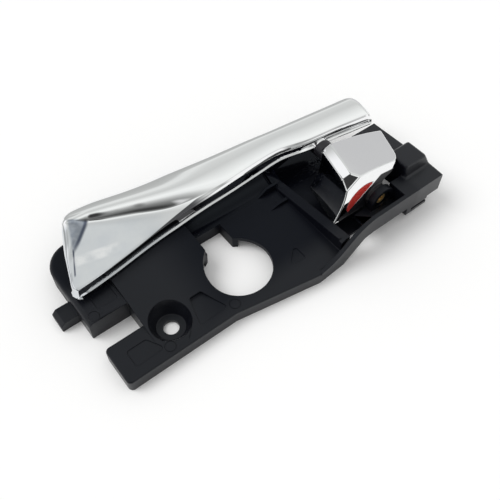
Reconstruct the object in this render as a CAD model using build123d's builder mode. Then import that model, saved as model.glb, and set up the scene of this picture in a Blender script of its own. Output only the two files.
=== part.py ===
"""Interior door handle: moulded housing, sprung pull handle and rocking lock knob on one hinge pin."""
import os
from math import cos, pi, radians, sin, tan

from build123d import *

# Millimetres. X runs along the handle, Y from the front edge to the back, Z up from the back face.
# Housing plate
PLATE_TOP = 6.6
PLATE_SKIN = 2.4
WALL = 2.2
RIB = 1.6
LEFT_X = -76.5
TONGUE_FRONT = -33.6
TONGUE_BACK = -15.5
TONGUE_R = 2.0
BEND_X = -26.7
BULGE_X = 12.2
BULGE_Y = -40.4
EDGE_R = 0.8

# Ear and swell under the handle tip
EAR_TOP = 10.1
EAR_FRONT = -5.3
EAR_R = 12.0
EAR_ROLL = 2.6
SLOT_END = -59.3
SWELL_TOP = 12.2
SWELL_FRONT = -27.0
SWELL_CREST = 7.0
SWELL_RIGHT = -20.5
BACK_LEFT_Y = 38.1
BACK_SLOPE = -0.122

# Round opening with its keyhole slot
HOLE_X = -12.6
HOLE_Y = -15.95
HOLE_R = 14.5
KEY_HALF = 6.6
KEY_BACK = 6.6

# Screw recess
SCREW_X = -49.7
SCREW_Y = -20.6
SCREW_BORE_R = 3.2
RECESS_R = 8.6
RECESS_FLOOR_R = 6.0
RECESS_FLOOR = 1.9
BOSS_R = 10.2

# Shallow relief panels and pin marks
RELIEF = 0.5
RELIEF_R = 1.2
PANEL_TONGUE = ((-70.3, -21.4), (-61.6, -21.4), (-57.4, -28.8), (-70.3, -29.2))
PANEL_HOLE = ((12.6, -21.8), (12.6, -29.6), (4.2, -29.6))
PANEL_MID = ((-38.2, -17.0), (-32.6, -17.0), (-27.6, -29.0), (-41.2, -29.3))
MARK_R = 2.2
MARK_RISE = 0.3

# Finger pocket and cross wall
POCKET_TOE = 9.0
POCKET_MID = (14.5, 8.3)
POCKET_BACK = 18.5
CROSS_X = 26.3
CROSS_T = 4.7
CROSS_FRONT_Z = 13.2
CROSS_BACK_Z = 7.8
GUSSET_T = 1.6
GUSSET_RISE = 3.2
GUSSET_RUN = 5.0

# Hinge
HINGE_X = 55.5
HINGE_Z = 13.6
PIN_R = 2.5
PIN_SINK = 1.4
PIN_SINK_R = 4.5
PIN_DIMPLE_R = 1.3
PIN_DIMPLE = 0.8
RUN_GAP = 0.05

# Hinge bay and end block
RIM_T = 2.0
BAY_FRONT = -38.3
BAY_BOTTOM = 8.2
BAY_FLOOR_FRONT = -30.0
LEDGE_X = 42.0
LEDGE_Z = 18.0
LUG_FRONT = -30.7
LUG_T = 3.4
LUG_R = 6.5
LUG_POCKET_END = 62.0
LUG_POCKET_FLOOR = 10.2
REAR_LUG_Y = 18.8
REAR_LUG_T = 3.4
REAR_LUG_R = 4.6
BLOCK_X = 69.2
BLOCK_END = 84.5
BLOCK_TOP = 24.0
BLOCK_TOP_END = 81.6
BLOCK_STEP_Y = -30.0
BLOCK_EDGE_Y = -28.7
BLOCK_CREST_Y = -18.0
BLOCK_FOOT_Y = -15.5
BLOCK_BACK_Y = 4.8
BLOCK_BACK_Z = 16.2
CLIP_X = 64.5
CLIP_L = 13.0
CLIP_DROP = 4.6
CLIP_T = 3.4
CLIP_SLOT = 2.6

# Locating tab
TAB_END = -84.5
TAB_FRONT = 4.6
TAB_W = 8.1
TAB_H = 5.0
TAB_BEVEL = 1.9

# Pull handle stations: X, lip Y, face edge Z, crease Y, crease Z, back Y, bottom Z, crown pitch
BAR_STATIONS = (
    (-84.0, 5.00, 17.60, 39.40, 21.40, 44.60, 13.00, 28.0),
    (-60.0, 7.40, 17.80, 34.60, 21.00, 41.00, 13.00, 28.0),
    (-54.0, 8.18, 17.78, 31.59, 20.98, 40.29, 13.00, 28.0),
    (-48.0, 9.10, 17.80, 28.30, 21.00, 39.50, 13.00, 28.0),
    (-42.0, 10.01, 17.94, 25.60, 21.01, 38.19, 13.00, 28.0),
    (-36.0, 10.80, 18.20, 23.00, 21.00, 36.80, 13.00, 28.0),
    (-30.0, 11.40, 18.55, 20.00, 20.94, 35.59, 13.00, 24.0),
    (-24.0, 11.90, 18.90, 17.40, 20.80, 34.60, 13.00, 20.0),
    (-16.0, 12.54, 19.22, 15.74, 20.52, 33.50, 13.00, 16.0),
    (-8.0, 12.99, 19.33, 15.14, 20.33, 32.32, 13.00, 14.0),
    (4.0, 13.50, 19.29, 14.98, 20.30, 30.74, 13.00, 14.0),
    (16.0, 14.25, 19.31, 15.65, 20.31, 29.55, 13.00, 14.0),
    (24.0, 14.70, 19.30, 16.10, 20.30, 28.80, 13.20, 14.0),
    (30.0, 14.86, 19.21, 16.26, 20.25, 28.11, 13.64, 14.0),
    (36.0, 14.40, 19.10, 15.80, 20.20, 27.30, 14.20, 14.0),
    (42.0, 13.06, 19.03, 14.46, 20.19, 26.62, 14.70, 14.0),
    (48.0, 11.60, 19.00, 13.00, 20.20, 26.00, 15.00, 14.0),
    (56.0, 10.58, 19.00, 11.98, 20.20, 25.15, 15.04, 14.0),
    (64.0, 9.71, 19.00, 11.11, 20.20, 24.26, 14.98, 14.0),
    (72.0, 8.50, 19.00, 9.90, 20.20, 23.40, 15.00, 14.0),
    (96.0, 5.00, 19.00, 6.40, 20.20, 21.20, 15.00, 14.0),
)
BAR_BACK_Z = 20.0
ROLL_SHARE = 0.25
ROLL_TURN = 50.0
CROWN_SHARE = 0.67
BAR_TOP = 30.0
BEAD = 0.9
BEAD_FACE = 0.5
BEAD_TOP = 1.1
BAR_WALL = 2.2
BROW_WALL = 1.2
BAR_END = 84.5
TIP_X = -76.6
TIP_LEAN = 0.40
TIP_FRONT = 5.2
TIP_BACK = 41.4
BACK_END = 23.2
TIP_FRONT_R = 3.6
TIP_BACK_R = 11.0
END_FRONT = 3.0
END_FRONT_R = 5.0
END_BACK_R = 11.5
TIP_ROUND = 2.8
TIP_CLIMB = 0.12
TIP_MID = 21.8
TIP_TOP = 19.5
END_ROUND = 5.0
END_MID = 15.0
END_TOP = 24.4
END_TILT = 0.15
EASE_TILTS = (18.0, 36.0, 54.0, 72.0)
EYE_START = 0.0
EYE_END = 13.4
EYE_R = 5.0
ARM_DROP = 8.2
ARM_R = 3.0
ARM_T = 3.0
ROD_R = 1.6

# Lock knob
KNOB_FRONT = -25.2
KNOB_BACK_LEFT = (32.0, -1.7)
KNOB_BACK_RIGHT = (74.9, -6.8)
KNOB_FRONT_RIGHT = 67.8
KNOB_LEAN = 0.26
KNOB_TIP = (31.8, 8.6)
KNOB_HEEL = (35.6, 8.0)
KNOB_WAIST = (35.9, 19.0)
KNOB_SHOULDER = (36.4, 30.0)
KNOB_EDGE = (40.3, 32.2)
KNOB_CREST = (57.0, 29.7)
KNOB_END = (72.0, 25.4)
KNOB_FLANK = (61.0, 19.5)
KNOB_LIP = 2.0
KNOB_SKIN = 2.4
KNOB_CHEEK = 2.2
KNOB_BACK_CHEEK = -9.4
KNOB_CORNER_R = 7.0
KNOB_EDGE_R = 1.0
BARREL_R = 5.0
BARREL_FRONT = -27.0
BARREL_BACK = -0.4
KNOB_ARM_Y = -12.0

# Red flag let into the knob cheek
FLAG_LOW = (39.8, 11.9)
FLAG_BULGE = (42.4, 21.4)
FLAG_HIGH = (52.6, 22.2)
FLAG_DEPTH = 1.0
FLAG_PROUD = 0.2

# Return spring
WIRE_R = 0.6
COIL_R = 3.4
COIL_PITCH = 1.5
COIL_STEP = pi / 4
COIL_STEPS = 17
COIL_BACK = 17.5
LEG_HOOK = 9.0
LEG_BAR = 8.0
HOOK_L = 2.6
HOOK_H = 2.0
HOOK_FRONT = 16.8

# Rest pad under the handle tip
PAD_X = -64.8
PAD_Y = 24.0
PAD_R = 2.0
PAD_TOP = 13.0

cross_end = CROSS_X + CROSS_T
lug_back = LUG_FRONT + LUG_T
rear_lug_end = REAR_LUG_Y + REAR_LUG_T
bore_r = PIN_R + RUN_GAP
roll_y = cos(radians(ROLL_TURN))
roll_z = sin(radians(ROLL_TURN))
coil_turn = COIL_STEP * COIL_STEPS
tip_side = Vector(-1, TIP_LEAN, 0).normalized()
tip_up = Vector(TIP_LEAN, 1, TIP_CLIMB).normalized().cross(tip_side)
tip_edge = Vector(TIP_X + TIP_LEAN * TIP_MID, TIP_MID, TIP_TOP)
end_side = Vector(1, 0, 0)
end_up = Vector(0, END_TILT, 1).normalized()
end_edge = Vector(BAR_END, END_MID, END_TOP)
knob_way = Vector(KNOB_LEAN, 1, 0).normalized()
yz_left = Plane.YZ.offset(SLOT_END)
hinge_plane = Plane(origin=(HINGE_X, 0, HINGE_Z), x_dir=(1, 0, 0), z_dir=(0, -1, 0))


def back_line(x):
    """Y of the housing's back edge at a given X."""
    return BACK_LEFT_Y + BACK_SLOPE * (x - LEFT_X)


with BuildPart() as housing:
    # Ear under the handle tip, with its outer edge rolled over
    with BuildSketch() as ear_plan:
        with BuildLine():
            Polyline(
                (LEFT_X, EAR_FRONT),
                (SLOT_END + WALL, EAR_FRONT),
                (SLOT_END + WALL, back_line(SLOT_END + WALL)),
                (LEFT_X, back_line(LEFT_X)),
                close=True,
            )
        make_face()
        fillet(ear_plan.vertices().sort_by(Axis.X)[:2].sort_by(Axis.Y)[-1], radius=EAR_R)
    extrude(amount=EAR_TOP)
    ear_rim = housing.faces().sort_by(Axis.Z)[-1].edges().filter_by(GeomType.CIRCLE)
    fillet(ear_rim, radius=EAR_ROLL)
    # Front plate with the tongue and the pocket floor
    with BuildSketch() as plate_plan:
        with BuildLine():
            Polyline(
                (LEFT_X, TONGUE_FRONT),
                (BEND_X, TONGUE_FRONT),
                (BULGE_X, BULGE_Y),
                (cross_end, BULGE_Y + RIM_T),
                (cross_end, POCKET_BACK),
                (SLOT_END, POCKET_BACK),
                (SLOT_END, TONGUE_BACK),
                (LEFT_X, TONGUE_BACK),
                close=True,
            )
        make_face()
        fillet(plate_plan.vertices().sort_by(Axis.X)[:2], radius=TONGUE_R)
    extrude(amount=PLATE_TOP)
    plate_rim = housing.edges().filter_by_position(Axis.Z, PLATE_TOP, PLATE_TOP)
    plate_rim = plate_rim.filter_by_position(Axis.Y, BULGE_Y, TONGUE_BACK - TONGUE_R)
    plate_rim = plate_rim.filter_by_position(Axis.X, LEFT_X, BULGE_X)
    fillet(plate_rim, radius=EDGE_R)
    # Swell rising from the plate to the handle lip
    with BuildSketch(yz_left):
        with BuildLine():
            Spline((SWELL_FRONT, PLATE_TOP), (SWELL_CREST, SWELL_TOP), tangents=((1, 0), (1, 0)))
            Polyline(
                (SWELL_CREST, SWELL_TOP),
                (BACK_LEFT_Y, SWELL_TOP),
                (BACK_LEFT_Y, 0),
                (SWELL_FRONT, 0),
                (SWELL_FRONT, PLATE_TOP),
            )
        make_face()
    extrude(amount=SWELL_RIGHT - SLOT_END)
    # Curved back of the finger pocket
    with BuildSketch(Plane.YZ.offset(SWELL_RIGHT)):
        with BuildLine():
            ThreePointArc((POCKET_TOE, PLATE_TOP), POCKET_MID, (POCKET_BACK, SWELL_TOP))
            Polyline(
                (POCKET_BACK, SWELL_TOP),
                (BACK_LEFT_Y, SWELL_TOP),
                (BACK_LEFT_Y, 0),
                (POCKET_TOE, 0),
                (POCKET_TOE, PLATE_TOP),
            )
        make_face()
    extrude(amount=cross_end - SWELL_RIGHT)
    # Cross wall between the pocket and the hinge bay
    with BuildSketch(Plane.YZ.offset(CROSS_X)):
        with BuildLine():
            Polyline(
                (BAY_FRONT + RIM_T, 0),
                (BAY_FRONT + RIM_T, CROSS_FRONT_Z),
                (POCKET_TOE, CROSS_BACK_Z),
                (POCKET_BACK, SWELL_TOP),
                (POCKET_BACK, 0),
                close=True,
            )
        make_face()
    extrude(amount=CROSS_T)
    # Front rim climbing from the plate to the ledge of the end block
    with BuildSketch():
        with BuildLine():
            Polyline(
                (BULGE_X, BULGE_Y),
                (LEDGE_X + RIM_T, BAY_FRONT),
                (LEDGE_X + RIM_T, BAY_FRONT + RIM_T),
                (BULGE_X, BULGE_Y + RIM_T),
                close=True,
            )
        make_face()
    extrude(amount=LEDGE_Z)
    with BuildSketch(Plane.XZ.offset(-BAY_FRONT - 2 * RIM_T)):
        with BuildLine():
            Spline(
                (BULGE_X, PLATE_TOP),
                ((BULGE_X + LEDGE_X) / 2, (PLATE_TOP + LEDGE_Z) / 2),
                (LEDGE_X, LEDGE_Z),
                tangents=((1, 0), (1, 0)),
            )
            Polyline(
                (LEDGE_X, LEDGE_Z),
                (LEDGE_X, BLOCK_TOP),
                (BULGE_X, BLOCK_TOP),
                (BULGE_X, PLATE_TOP),
            )
        make_face()
    extrude(amount=4 * RIM_T, mode=Mode.SUBTRACT)
    # Ledge and end block
    with BuildSketch(Plane.YZ.offset(LEDGE_X)):
        with Locations((BAY_FRONT, BAY_BOTTOM)):
            Rectangle(lug_back - BAY_FRONT, LEDGE_Z - BAY_BOTTOM, align=(Align.MIN, Align.MIN))
    extrude(amount=BLOCK_END - LEDGE_X)
    with BuildSketch(Plane.YZ.offset(BLOCK_X)):
        with BuildLine():
            Polyline(
                (BLOCK_STEP_Y, BAY_BOTTOM),
                (BLOCK_STEP_Y, LEDGE_Z),
                (BLOCK_EDGE_Y, BLOCK_TOP),
                (BLOCK_CREST_Y, BLOCK_TOP),
                (BLOCK_FOOT_Y, LEDGE_Z),
                (BLOCK_BACK_Y, BLOCK_BACK_Z),
                (BLOCK_BACK_Y, BAY_BOTTOM),
                close=True,
            )
        make_face()
    extrude(amount=BLOCK_END - BLOCK_X)
    with BuildSketch(Plane.XZ.offset(-BLOCK_BACK_Y)):
        with BuildLine():
            Polyline(
                (BLOCK_END, LEDGE_Z),
                (BLOCK_TOP_END, BLOCK_TOP),
                (BLOCK_TOP_END, BLOCK_TOP + WALL),
                (BLOCK_END, BLOCK_TOP + WALL),
                close=True,
            )
        make_face()
    extrude(amount=BLOCK_BACK_Y - BLOCK_STEP_Y, mode=Mode.SUBTRACT)
    # Well in the ledge in front of the pin, then the arched front lug
    with BuildSketch(Plane.XY.offset(LUG_POCKET_FLOOR)):
        with Locations((LEDGE_X, BAY_FRONT + RIM_T)):
            Rectangle(
                LUG_POCKET_END - LEDGE_X,
                lug_back - BAY_FRONT,
                align=(Align.MIN, Align.MIN),
            )
    extrude(amount=LEDGE_Z, mode=Mode.SUBTRACT)
    with BuildSketch(hinge_plane.offset(-lug_back)):
        Circle(LUG_R)
        with Locations((0, (BAY_BOTTOM - HINGE_Z) / 2)):
            Rectangle(2 * LUG_R, HINGE_Z - BAY_BOTTOM)
    extrude(amount=LUG_T)
    # Raised underside in front of the bay
    with BuildSketch(Plane.XZ.offset(-BAY_FRONT - 2 * RIM_T)):
        with BuildLine():
            Polyline(
                (CROSS_X, 0),
                (LEDGE_X - 2 * RIM_T, BAY_BOTTOM),
                (BLOCK_END, BAY_BOTTOM),
                (BLOCK_END, 0),
                close=True,
            )
        make_face()
    extrude(amount=4 * RIM_T, mode=Mode.SUBTRACT)
    # Floor of the hinge bay
    with BuildSketch():
        with Locations((cross_end - RIB, BAY_FLOOR_FRONT)):
            Rectangle(
                BLOCK_X - cross_end + RIB,
                rear_lug_end - BAY_FLOOR_FRONT,
                align=(Align.MIN, Align.MIN),
            )
    extrude(amount=RIB)
    # Rear lug on its web from the cross wall
    with BuildSketch(hinge_plane.offset(-rear_lug_end)):
        Circle(REAR_LUG_R)
        with BuildLine():
            Polyline(
                (CROSS_X - HINGE_X, RIB - HINGE_Z),
                (CROSS_X - HINGE_X, SWELL_TOP - HINGE_Z),
                (cross_end - HINGE_X, SWELL_TOP - HINGE_Z),
                (0, REAR_LUG_R),
                (REAR_LUG_R, 0),
                (0, -REAR_LUG_R),
                (cross_end - HINGE_X, RIB - HINGE_Z),
                close=True,
            )
        make_face()
    extrude(amount=REAR_LUG_T)
    # Straight back edge
    with BuildSketch():
        with BuildLine():
            Polyline(
                (LEFT_X, back_line(LEFT_X)),
                (BLOCK_END, back_line(BLOCK_END)),
                (BLOCK_END, BACK_LEFT_Y + WALL),
                (LEFT_X, BACK_LEFT_Y + WALL),
                close=True,
            )
        make_face()
    extrude(amount=BLOCK_TOP, mode=Mode.SUBTRACT)
    # Locating tab with a bevelled end
    with BuildSketch(Plane.XZ.offset(-TAB_FRONT)):
        with BuildLine():
            Polyline(
                (LEFT_X + WALL / 2, 0),
                (TAB_END, 0),
                (TAB_END, TAB_H - TAB_BEVEL),
                (TAB_END + TAB_BEVEL, TAB_H),
                (LEFT_X + WALL / 2, TAB_H),
                close=True,
            )
        make_face()
    extrude(amount=-TAB_W)
    # Underside hollows: plate, swell, ear, pocket back, ledge and block
    with BuildSketch() as plate_hollow:
        with BuildLine():
            Polyline(
                (LEFT_X, TONGUE_FRONT),
                (BEND_X, TONGUE_FRONT),
                (BULGE_X, BULGE_Y),
                (CROSS_X + WALL, BULGE_Y + RIM_T),
                (CROSS_X + WALL, POCKET_BACK),
                (SLOT_END, POCKET_BACK),
                (SLOT_END, TONGUE_BACK),
                (LEFT_X, TONGUE_BACK),
                close=True,
            )
        make_face()
        offset(amount=-WALL, kind=Kind.INTERSECTION, mode=Mode.REPLACE)
        with Locations((SCREW_X, SCREW_Y)):
            Circle(BOSS_R, mode=Mode.SUBTRACT)
        with Locations((HOLE_X, HOLE_Y)):
            Rectangle(
                2 * (KEY_HALF + WALL),
                KEY_BACK - HOLE_Y + WALL,
                align=(Align.CENTER, Align.MIN),
                mode=Mode.SUBTRACT,
            )
        with Locations((BULGE_X, (POCKET_BACK + BULGE_Y) / 2), (BEND_X - BOSS_R, TONGUE_FRONT)):
            Rectangle(RIB, POCKET_BACK - BULGE_Y, mode=Mode.SUBTRACT)
        with Locations((HOLE_X, HOLE_Y)):
            Circle(HOLE_R)
    extrude(amount=PLATE_TOP - PLATE_SKIN, mode=Mode.SUBTRACT)
    with BuildSketch(Plane.YZ.offset(SLOT_END + WALL)):
        with BuildLine():
            Polyline(
                (SCREW_Y + BOSS_R, 0),
                (SCREW_Y + BOSS_R, PLATE_TOP - PLATE_SKIN / 2),
                (SWELL_CREST, SWELL_TOP - PLATE_SKIN),
                (back_line(SLOT_END) - 3 * WALL, SWELL_TOP - PLATE_SKIN),
                (back_line(SLOT_END) - 3 * WALL, 0),
                close=True,
            )
        make_face()
    extrude(amount=SWELL_RIGHT - SLOT_END - 2 * WALL, mode=Mode.SUBTRACT)
    with BuildSketch():
        with Locations((LEFT_X + WALL, EAR_FRONT + WALL)):
            Rectangle(
                SLOT_END - LEFT_X - WALL - RIB,
                back_line(SLOT_END) - EAR_FRONT - EAR_R,
                align=(Align.MIN, Align.MIN),
            )
    extrude(amount=EAR_TOP - PLATE_SKIN, mode=Mode.SUBTRACT)
    with BuildSketch():
        with BuildLine():
            Polyline(
                (SWELL_RIGHT + WALL, POCKET_BACK + WALL),
                (CROSS_X, POCKET_BACK + WALL),
                (CROSS_X, back_line(CROSS_X) - WALL),
                (SWELL_RIGHT + WALL, back_line(SWELL_RIGHT) - WALL),
                close=True,
            )
        make_face()
    extrude(amount=SWELL_TOP - PLATE_SKIN, mode=Mode.SUBTRACT)
    with BuildSketch(Plane.XY.offset(BAY_BOTTOM)):
        with Locations((LUG_POCKET_END + WALL, BAY_FRONT + RIM_T)):
            Rectangle(
                BLOCK_END - LUG_POCKET_END - 2 * WALL,
                lug_back - BAY_FRONT - 2 * RIM_T,
                align=(Align.MIN, Align.MIN),
            )
        with Locations((BLOCK_X + WALL, lug_back + RIB)):
            Rectangle(
                BLOCK_END - BLOCK_X - 2 * WALL,
                BLOCK_BACK_Y - lug_back - RIB - WALL,
                align=(Align.MIN, Align.MIN),
            )
    extrude(amount=BLOCK_BACK_Z - BAY_BOTTOM - PLATE_SKIN, mode=Mode.SUBTRACT)
    # Wedge ribs at the foot of the cross wall
    with BuildSketch(Plane.XZ):
        with BuildLine():
            Polyline(
                (CROSS_X + RIB, PLATE_TOP),
                (CROSS_X - 2 * GUSSET_RUN, PLATE_TOP),
                (CROSS_X - GUSSET_RUN, PLATE_TOP + GUSSET_RISE / 2),
                (CROSS_X + RIB, PLATE_TOP + GUSSET_RISE / 2),
                close=True,
            )
        make_face()
    extrude(amount=GUSSET_T)
    with BuildSketch(Plane.XZ.offset(-POCKET_TOE)):
        with BuildLine():
            Polyline(
                (CROSS_X + RIB, PLATE_TOP),
                (CROSS_X - 2 * GUSSET_RUN, PLATE_TOP),
                (CROSS_X - GUSSET_RUN, PLATE_TOP + GUSSET_RISE),
                (CROSS_X + RIB, PLATE_TOP + GUSSET_RISE),
                close=True,
            )
        make_face()
    extrude(amount=GUSSET_T)
    # Cable clip hanging under the ledge
    with BuildSketch(Plane.XZ.offset(-BAY_FRONT)):
        with Locations((CLIP_X, BAY_BOTTOM + RIB)):
            Rectangle(CLIP_L, CLIP_DROP + RIB, align=(Align.MIN, Align.MAX))
        with Locations((CLIP_X + 2 * RIB, BAY_BOTTOM - RIB)):
            Rectangle(CLIP_L, CLIP_SLOT / 2, align=(Align.MIN, Align.MAX), mode=Mode.SUBTRACT)
    extrude(amount=-CLIP_T)
    # Round opening and keyhole slot
    with BuildSketch():
        with Locations((HOLE_X, HOLE_Y)):
            Circle(HOLE_R)
            Rectangle(2 * KEY_HALF, KEY_BACK - HOLE_Y, align=(Align.CENTER, Align.MIN))
    extrude(amount=BLOCK_TOP, mode=Mode.SUBTRACT)
    # Screw recess and its through bore
    with BuildSketch(Plane(origin=(SCREW_X, SCREW_Y, 0), x_dir=(1, 0, 0), z_dir=(0, -1, 0))):
        with BuildLine():
            Polyline(
                (0, 0),
                (SCREW_BORE_R, 0),
                (SCREW_BORE_R, RECESS_FLOOR),
                (RECESS_FLOOR_R, RECESS_FLOOR),
                (RECESS_R, PLATE_TOP),
                (RECESS_R, BLOCK_TOP),
                (0, BLOCK_TOP),
                close=True,
            )
        make_face()
    revolve(axis=Axis((SCREW_X, SCREW_Y, 0), (0, 0, 1)), mode=Mode.SUBTRACT)
    # Shallow relief panels on the plate and the ear
    with BuildSketch(Plane.XY.offset(PLATE_TOP - RELIEF)) as panels:
        for outline in (PANEL_TONGUE, PANEL_HOLE, PANEL_MID):
            with BuildLine():
                Polyline(*outline, close=True)
            make_face()
        fillet(panels.vertices(), radius=RELIEF_R)
    extrude(amount=BLOCK_TOP, mode=Mode.SUBTRACT)
    with BuildSketch(Plane.XY.offset(EAR_TOP - RELIEF)):
        with Locations((LEFT_X + 3 * WALL, EAR_FRONT + 2 * WALL)):
            RectangleRounded(
                SLOT_END - LEFT_X - 3 * WALL - RIB,
                2 * EAR_R,
                RELIEF_R,
                align=(Align.MIN, Align.MIN),
            )
    extrude(amount=RELIEF, mode=Mode.SUBTRACT)
    # Pin marks left by the mould
    with BuildSketch(Plane.XY.offset(PLATE_TOP - MARK_RISE)):
        with Locations((SCREW_X - RECESS_FLOOR_R, TONGUE_FRONT + MARK_R + RIB)):
            Circle(MARK_R)
        with Locations((HOLE_X - HOLE_R + MARK_R, TONGUE_FRONT + MARK_R + RIB)):
            Circle(MARK_R)
    extrude(amount=2 * MARK_RISE)
    with BuildSketch(Plane.XY.offset(EAR_TOP - MARK_RISE)):
        with Locations((LEFT_X + MARK_R + RIB, EAR_FRONT + MARK_R + MARK_RISE)):
            Circle(MARK_R)
    extrude(amount=2 * MARK_RISE)
    # Pin bores through the lugs, with a sunk seat at the front
    with BuildSketch(hinge_plane.offset(-rear_lug_end)):
        Circle(PIN_R)
    extrude(amount=rear_lug_end - LUG_FRONT, mode=Mode.SUBTRACT)
    with BuildSketch(hinge_plane.offset(-LUG_FRONT - PIN_SINK)):
        Circle(PIN_SINK_R)
    extrude(amount=PIN_SINK, mode=Mode.SUBTRACT)
    # Hook on the rear web over the short leg of the spring
    with BuildSketch(Plane.XZ.offset(-rear_lug_end)):
        with Locations((HINGE_X - LEG_HOOK, HINGE_Z - COIL_R + WIRE_R + RUN_GAP)):
            Rectangle(HOOK_L, HOOK_H, align=(Align.MIN, Align.MIN))
    extrude(amount=rear_lug_end - HOOK_FRONT)
    # Socket for the rest pad
    with BuildSketch(Plane.XY.offset(EAR_TOP - RELIEF - MARK_RISE)):
        with Locations((PAD_X, PAD_Y)):
            Circle(PAD_R)
    extrude(amount=EAR_TOP, mode=Mode.SUBTRACT)

with BuildPart() as bar_core:
    # Hollow inside the bar, open below
    with BuildSketch():
        with BuildLine():
            Polyline(
                (TIP_X + 2 * BAR_WALL + TIP_LEAN * TIP_FRONT, TIP_FRONT),
                (TIP_X + 2 * BAR_WALL + TIP_LEAN * TIP_BACK, TIP_BACK),
                (BAR_END - END_FRONT_R, TIP_BACK),
                (BAR_END - END_FRONT_R, TIP_FRONT),
                close=True,
            )
        make_face()
    extrude(amount=BAR_TOP)
    for x, lip, edge, crease, crease_z, back, bottom, _ in BAR_STATIONS[::2]:
        with BuildSketch(Plane.YZ.offset(x)):
            with BuildLine():
                Polyline(
                    (lip + BAR_WALL, bottom - BAR_WALL),
                    (lip + BAR_WALL, edge - BAR_WALL),
                    (max(crease, lip + BAR_WALL) + BEAD_FACE, crease_z - BAR_WALL - BEAD_FACE),
                    ((crease + back) / 2, BAR_BACK_Z + BROW_WALL),
                    (back - BAR_WALL, BAR_BACK_Z - BROW_WALL),
                    (back - BAR_WALL, bottom - BAR_WALL),
                    close=True,
                )
            make_face()
    loft(ruled=True, mode=Mode.INTERSECT)

with BuildPart() as pull_handle:
    # Plan outline with the leaning, rounded tip and the rounded hinge end
    with BuildSketch() as bar_plan:
        with BuildLine():
            Polyline(
                (TIP_X + TIP_LEAN * TIP_FRONT, TIP_FRONT),
                (TIP_X + TIP_LEAN * TIP_BACK, TIP_BACK),
                (BAR_END, BACK_END),
                (BAR_END, END_FRONT),
                close=True,
            )
        make_face()
        tip_corners = bar_plan.vertices().sort_by(Axis.X)
        fillet(tip_corners[0], radius=TIP_FRONT_R)
        fillet(bar_plan.vertices().group_by(Axis.Y)[-1], radius=TIP_BACK_R)
        end_corners = bar_plan.vertices().sort_by(Axis.X)[-2:]
        fillet(end_corners.sort_by(Axis.Y)[0], radius=END_FRONT_R)
        fillet(bar_plan.vertices().group_by(Axis.X)[-1].sort_by(Axis.Y)[-1], radius=END_BACK_R)
    extrude(amount=BAR_TOP)
    # Bar lofted through its stations: bead, lip, scooped facet and crown
    for x, lip, edge, crease, crease_z, back, bottom, pitch in BAR_STATIONS:
        roll = ROLL_SHARE * (back - crease)
        brow = (back - roll + roll * roll_y, BAR_BACK_Z + roll * roll_z)
        crown_y = crease + CROWN_SHARE * (back - crease)
        crown = (crown_y, brow[1] + (brow[0] - crown_y) * tan(radians(pitch)))
        fall = radians(90 - ROLL_TURN - 2 * pitch)
        with BuildSketch(Plane.YZ.offset(x)):
            with BuildLine():
                Polyline(
                    (back, BAR_BACK_Z),
                    (back, bottom),
                    (lip - BEAD, bottom),
                    (lip - BEAD, bottom + BEAD_FACE),
                    (lip, bottom + BEAD_TOP),
                    (lip, edge),
                    (crease, crease_z),
                )
                TangentArc(crown, (crease, crease_z), tangent=(-cos(fall), -sin(fall)))
                TangentArc(brow, crown, tangent=(-roll_z, roll_y))
                RadiusArc(brow, (back, BAR_BACK_Z), roll)
            make_face()
    loft(ruled=True, mode=Mode.INTERSECT)
    # Top edges at the tip and at the hinge end, eased in steps
    for edge_point, side, up, radius in (
        (tip_edge, tip_side, tip_up, TIP_ROUND),
        (end_edge, end_side, end_up, END_ROUND),
    ):
        for tilt in EASE_TILTS:
            facing = side * sin(radians(tilt)) + up * cos(radians(tilt))
            touch = edge_point - radius * (side + up) + radius * facing
            with BuildSketch(Plane(origin=touch, z_dir=facing)):
                Rectangle(2 * TIP_BACK, 2 * TIP_BACK)
            extrude(amount=BAR_TOP, mode=Mode.SUBTRACT)
    add(bar_core.part, mode=Mode.SUBTRACT)
    # Hinge eye under the front wall of the bar, with the arm for the latch rod
    with BuildSketch(hinge_plane.offset(-EYE_END)):
        Circle(EYE_R)
    extrude(amount=EYE_END - EYE_START)
    with BuildSketch(hinge_plane.offset(-EYE_START - ARM_T)):
        with Locations((0, -ARM_DROP)):
            Circle(ARM_R)
        with Locations((0, -ARM_DROP / 2)):
            Rectangle(2 * ARM_R, ARM_DROP)
    extrude(amount=ARM_T)
    with BuildSketch(hinge_plane.offset(-EYE_END)):
        Circle(bore_r)
        with Locations((0, -ARM_DROP)):
            Circle(ROD_R)
    extrude(amount=EYE_END - EYE_START, mode=Mode.SUBTRACT)

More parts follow.
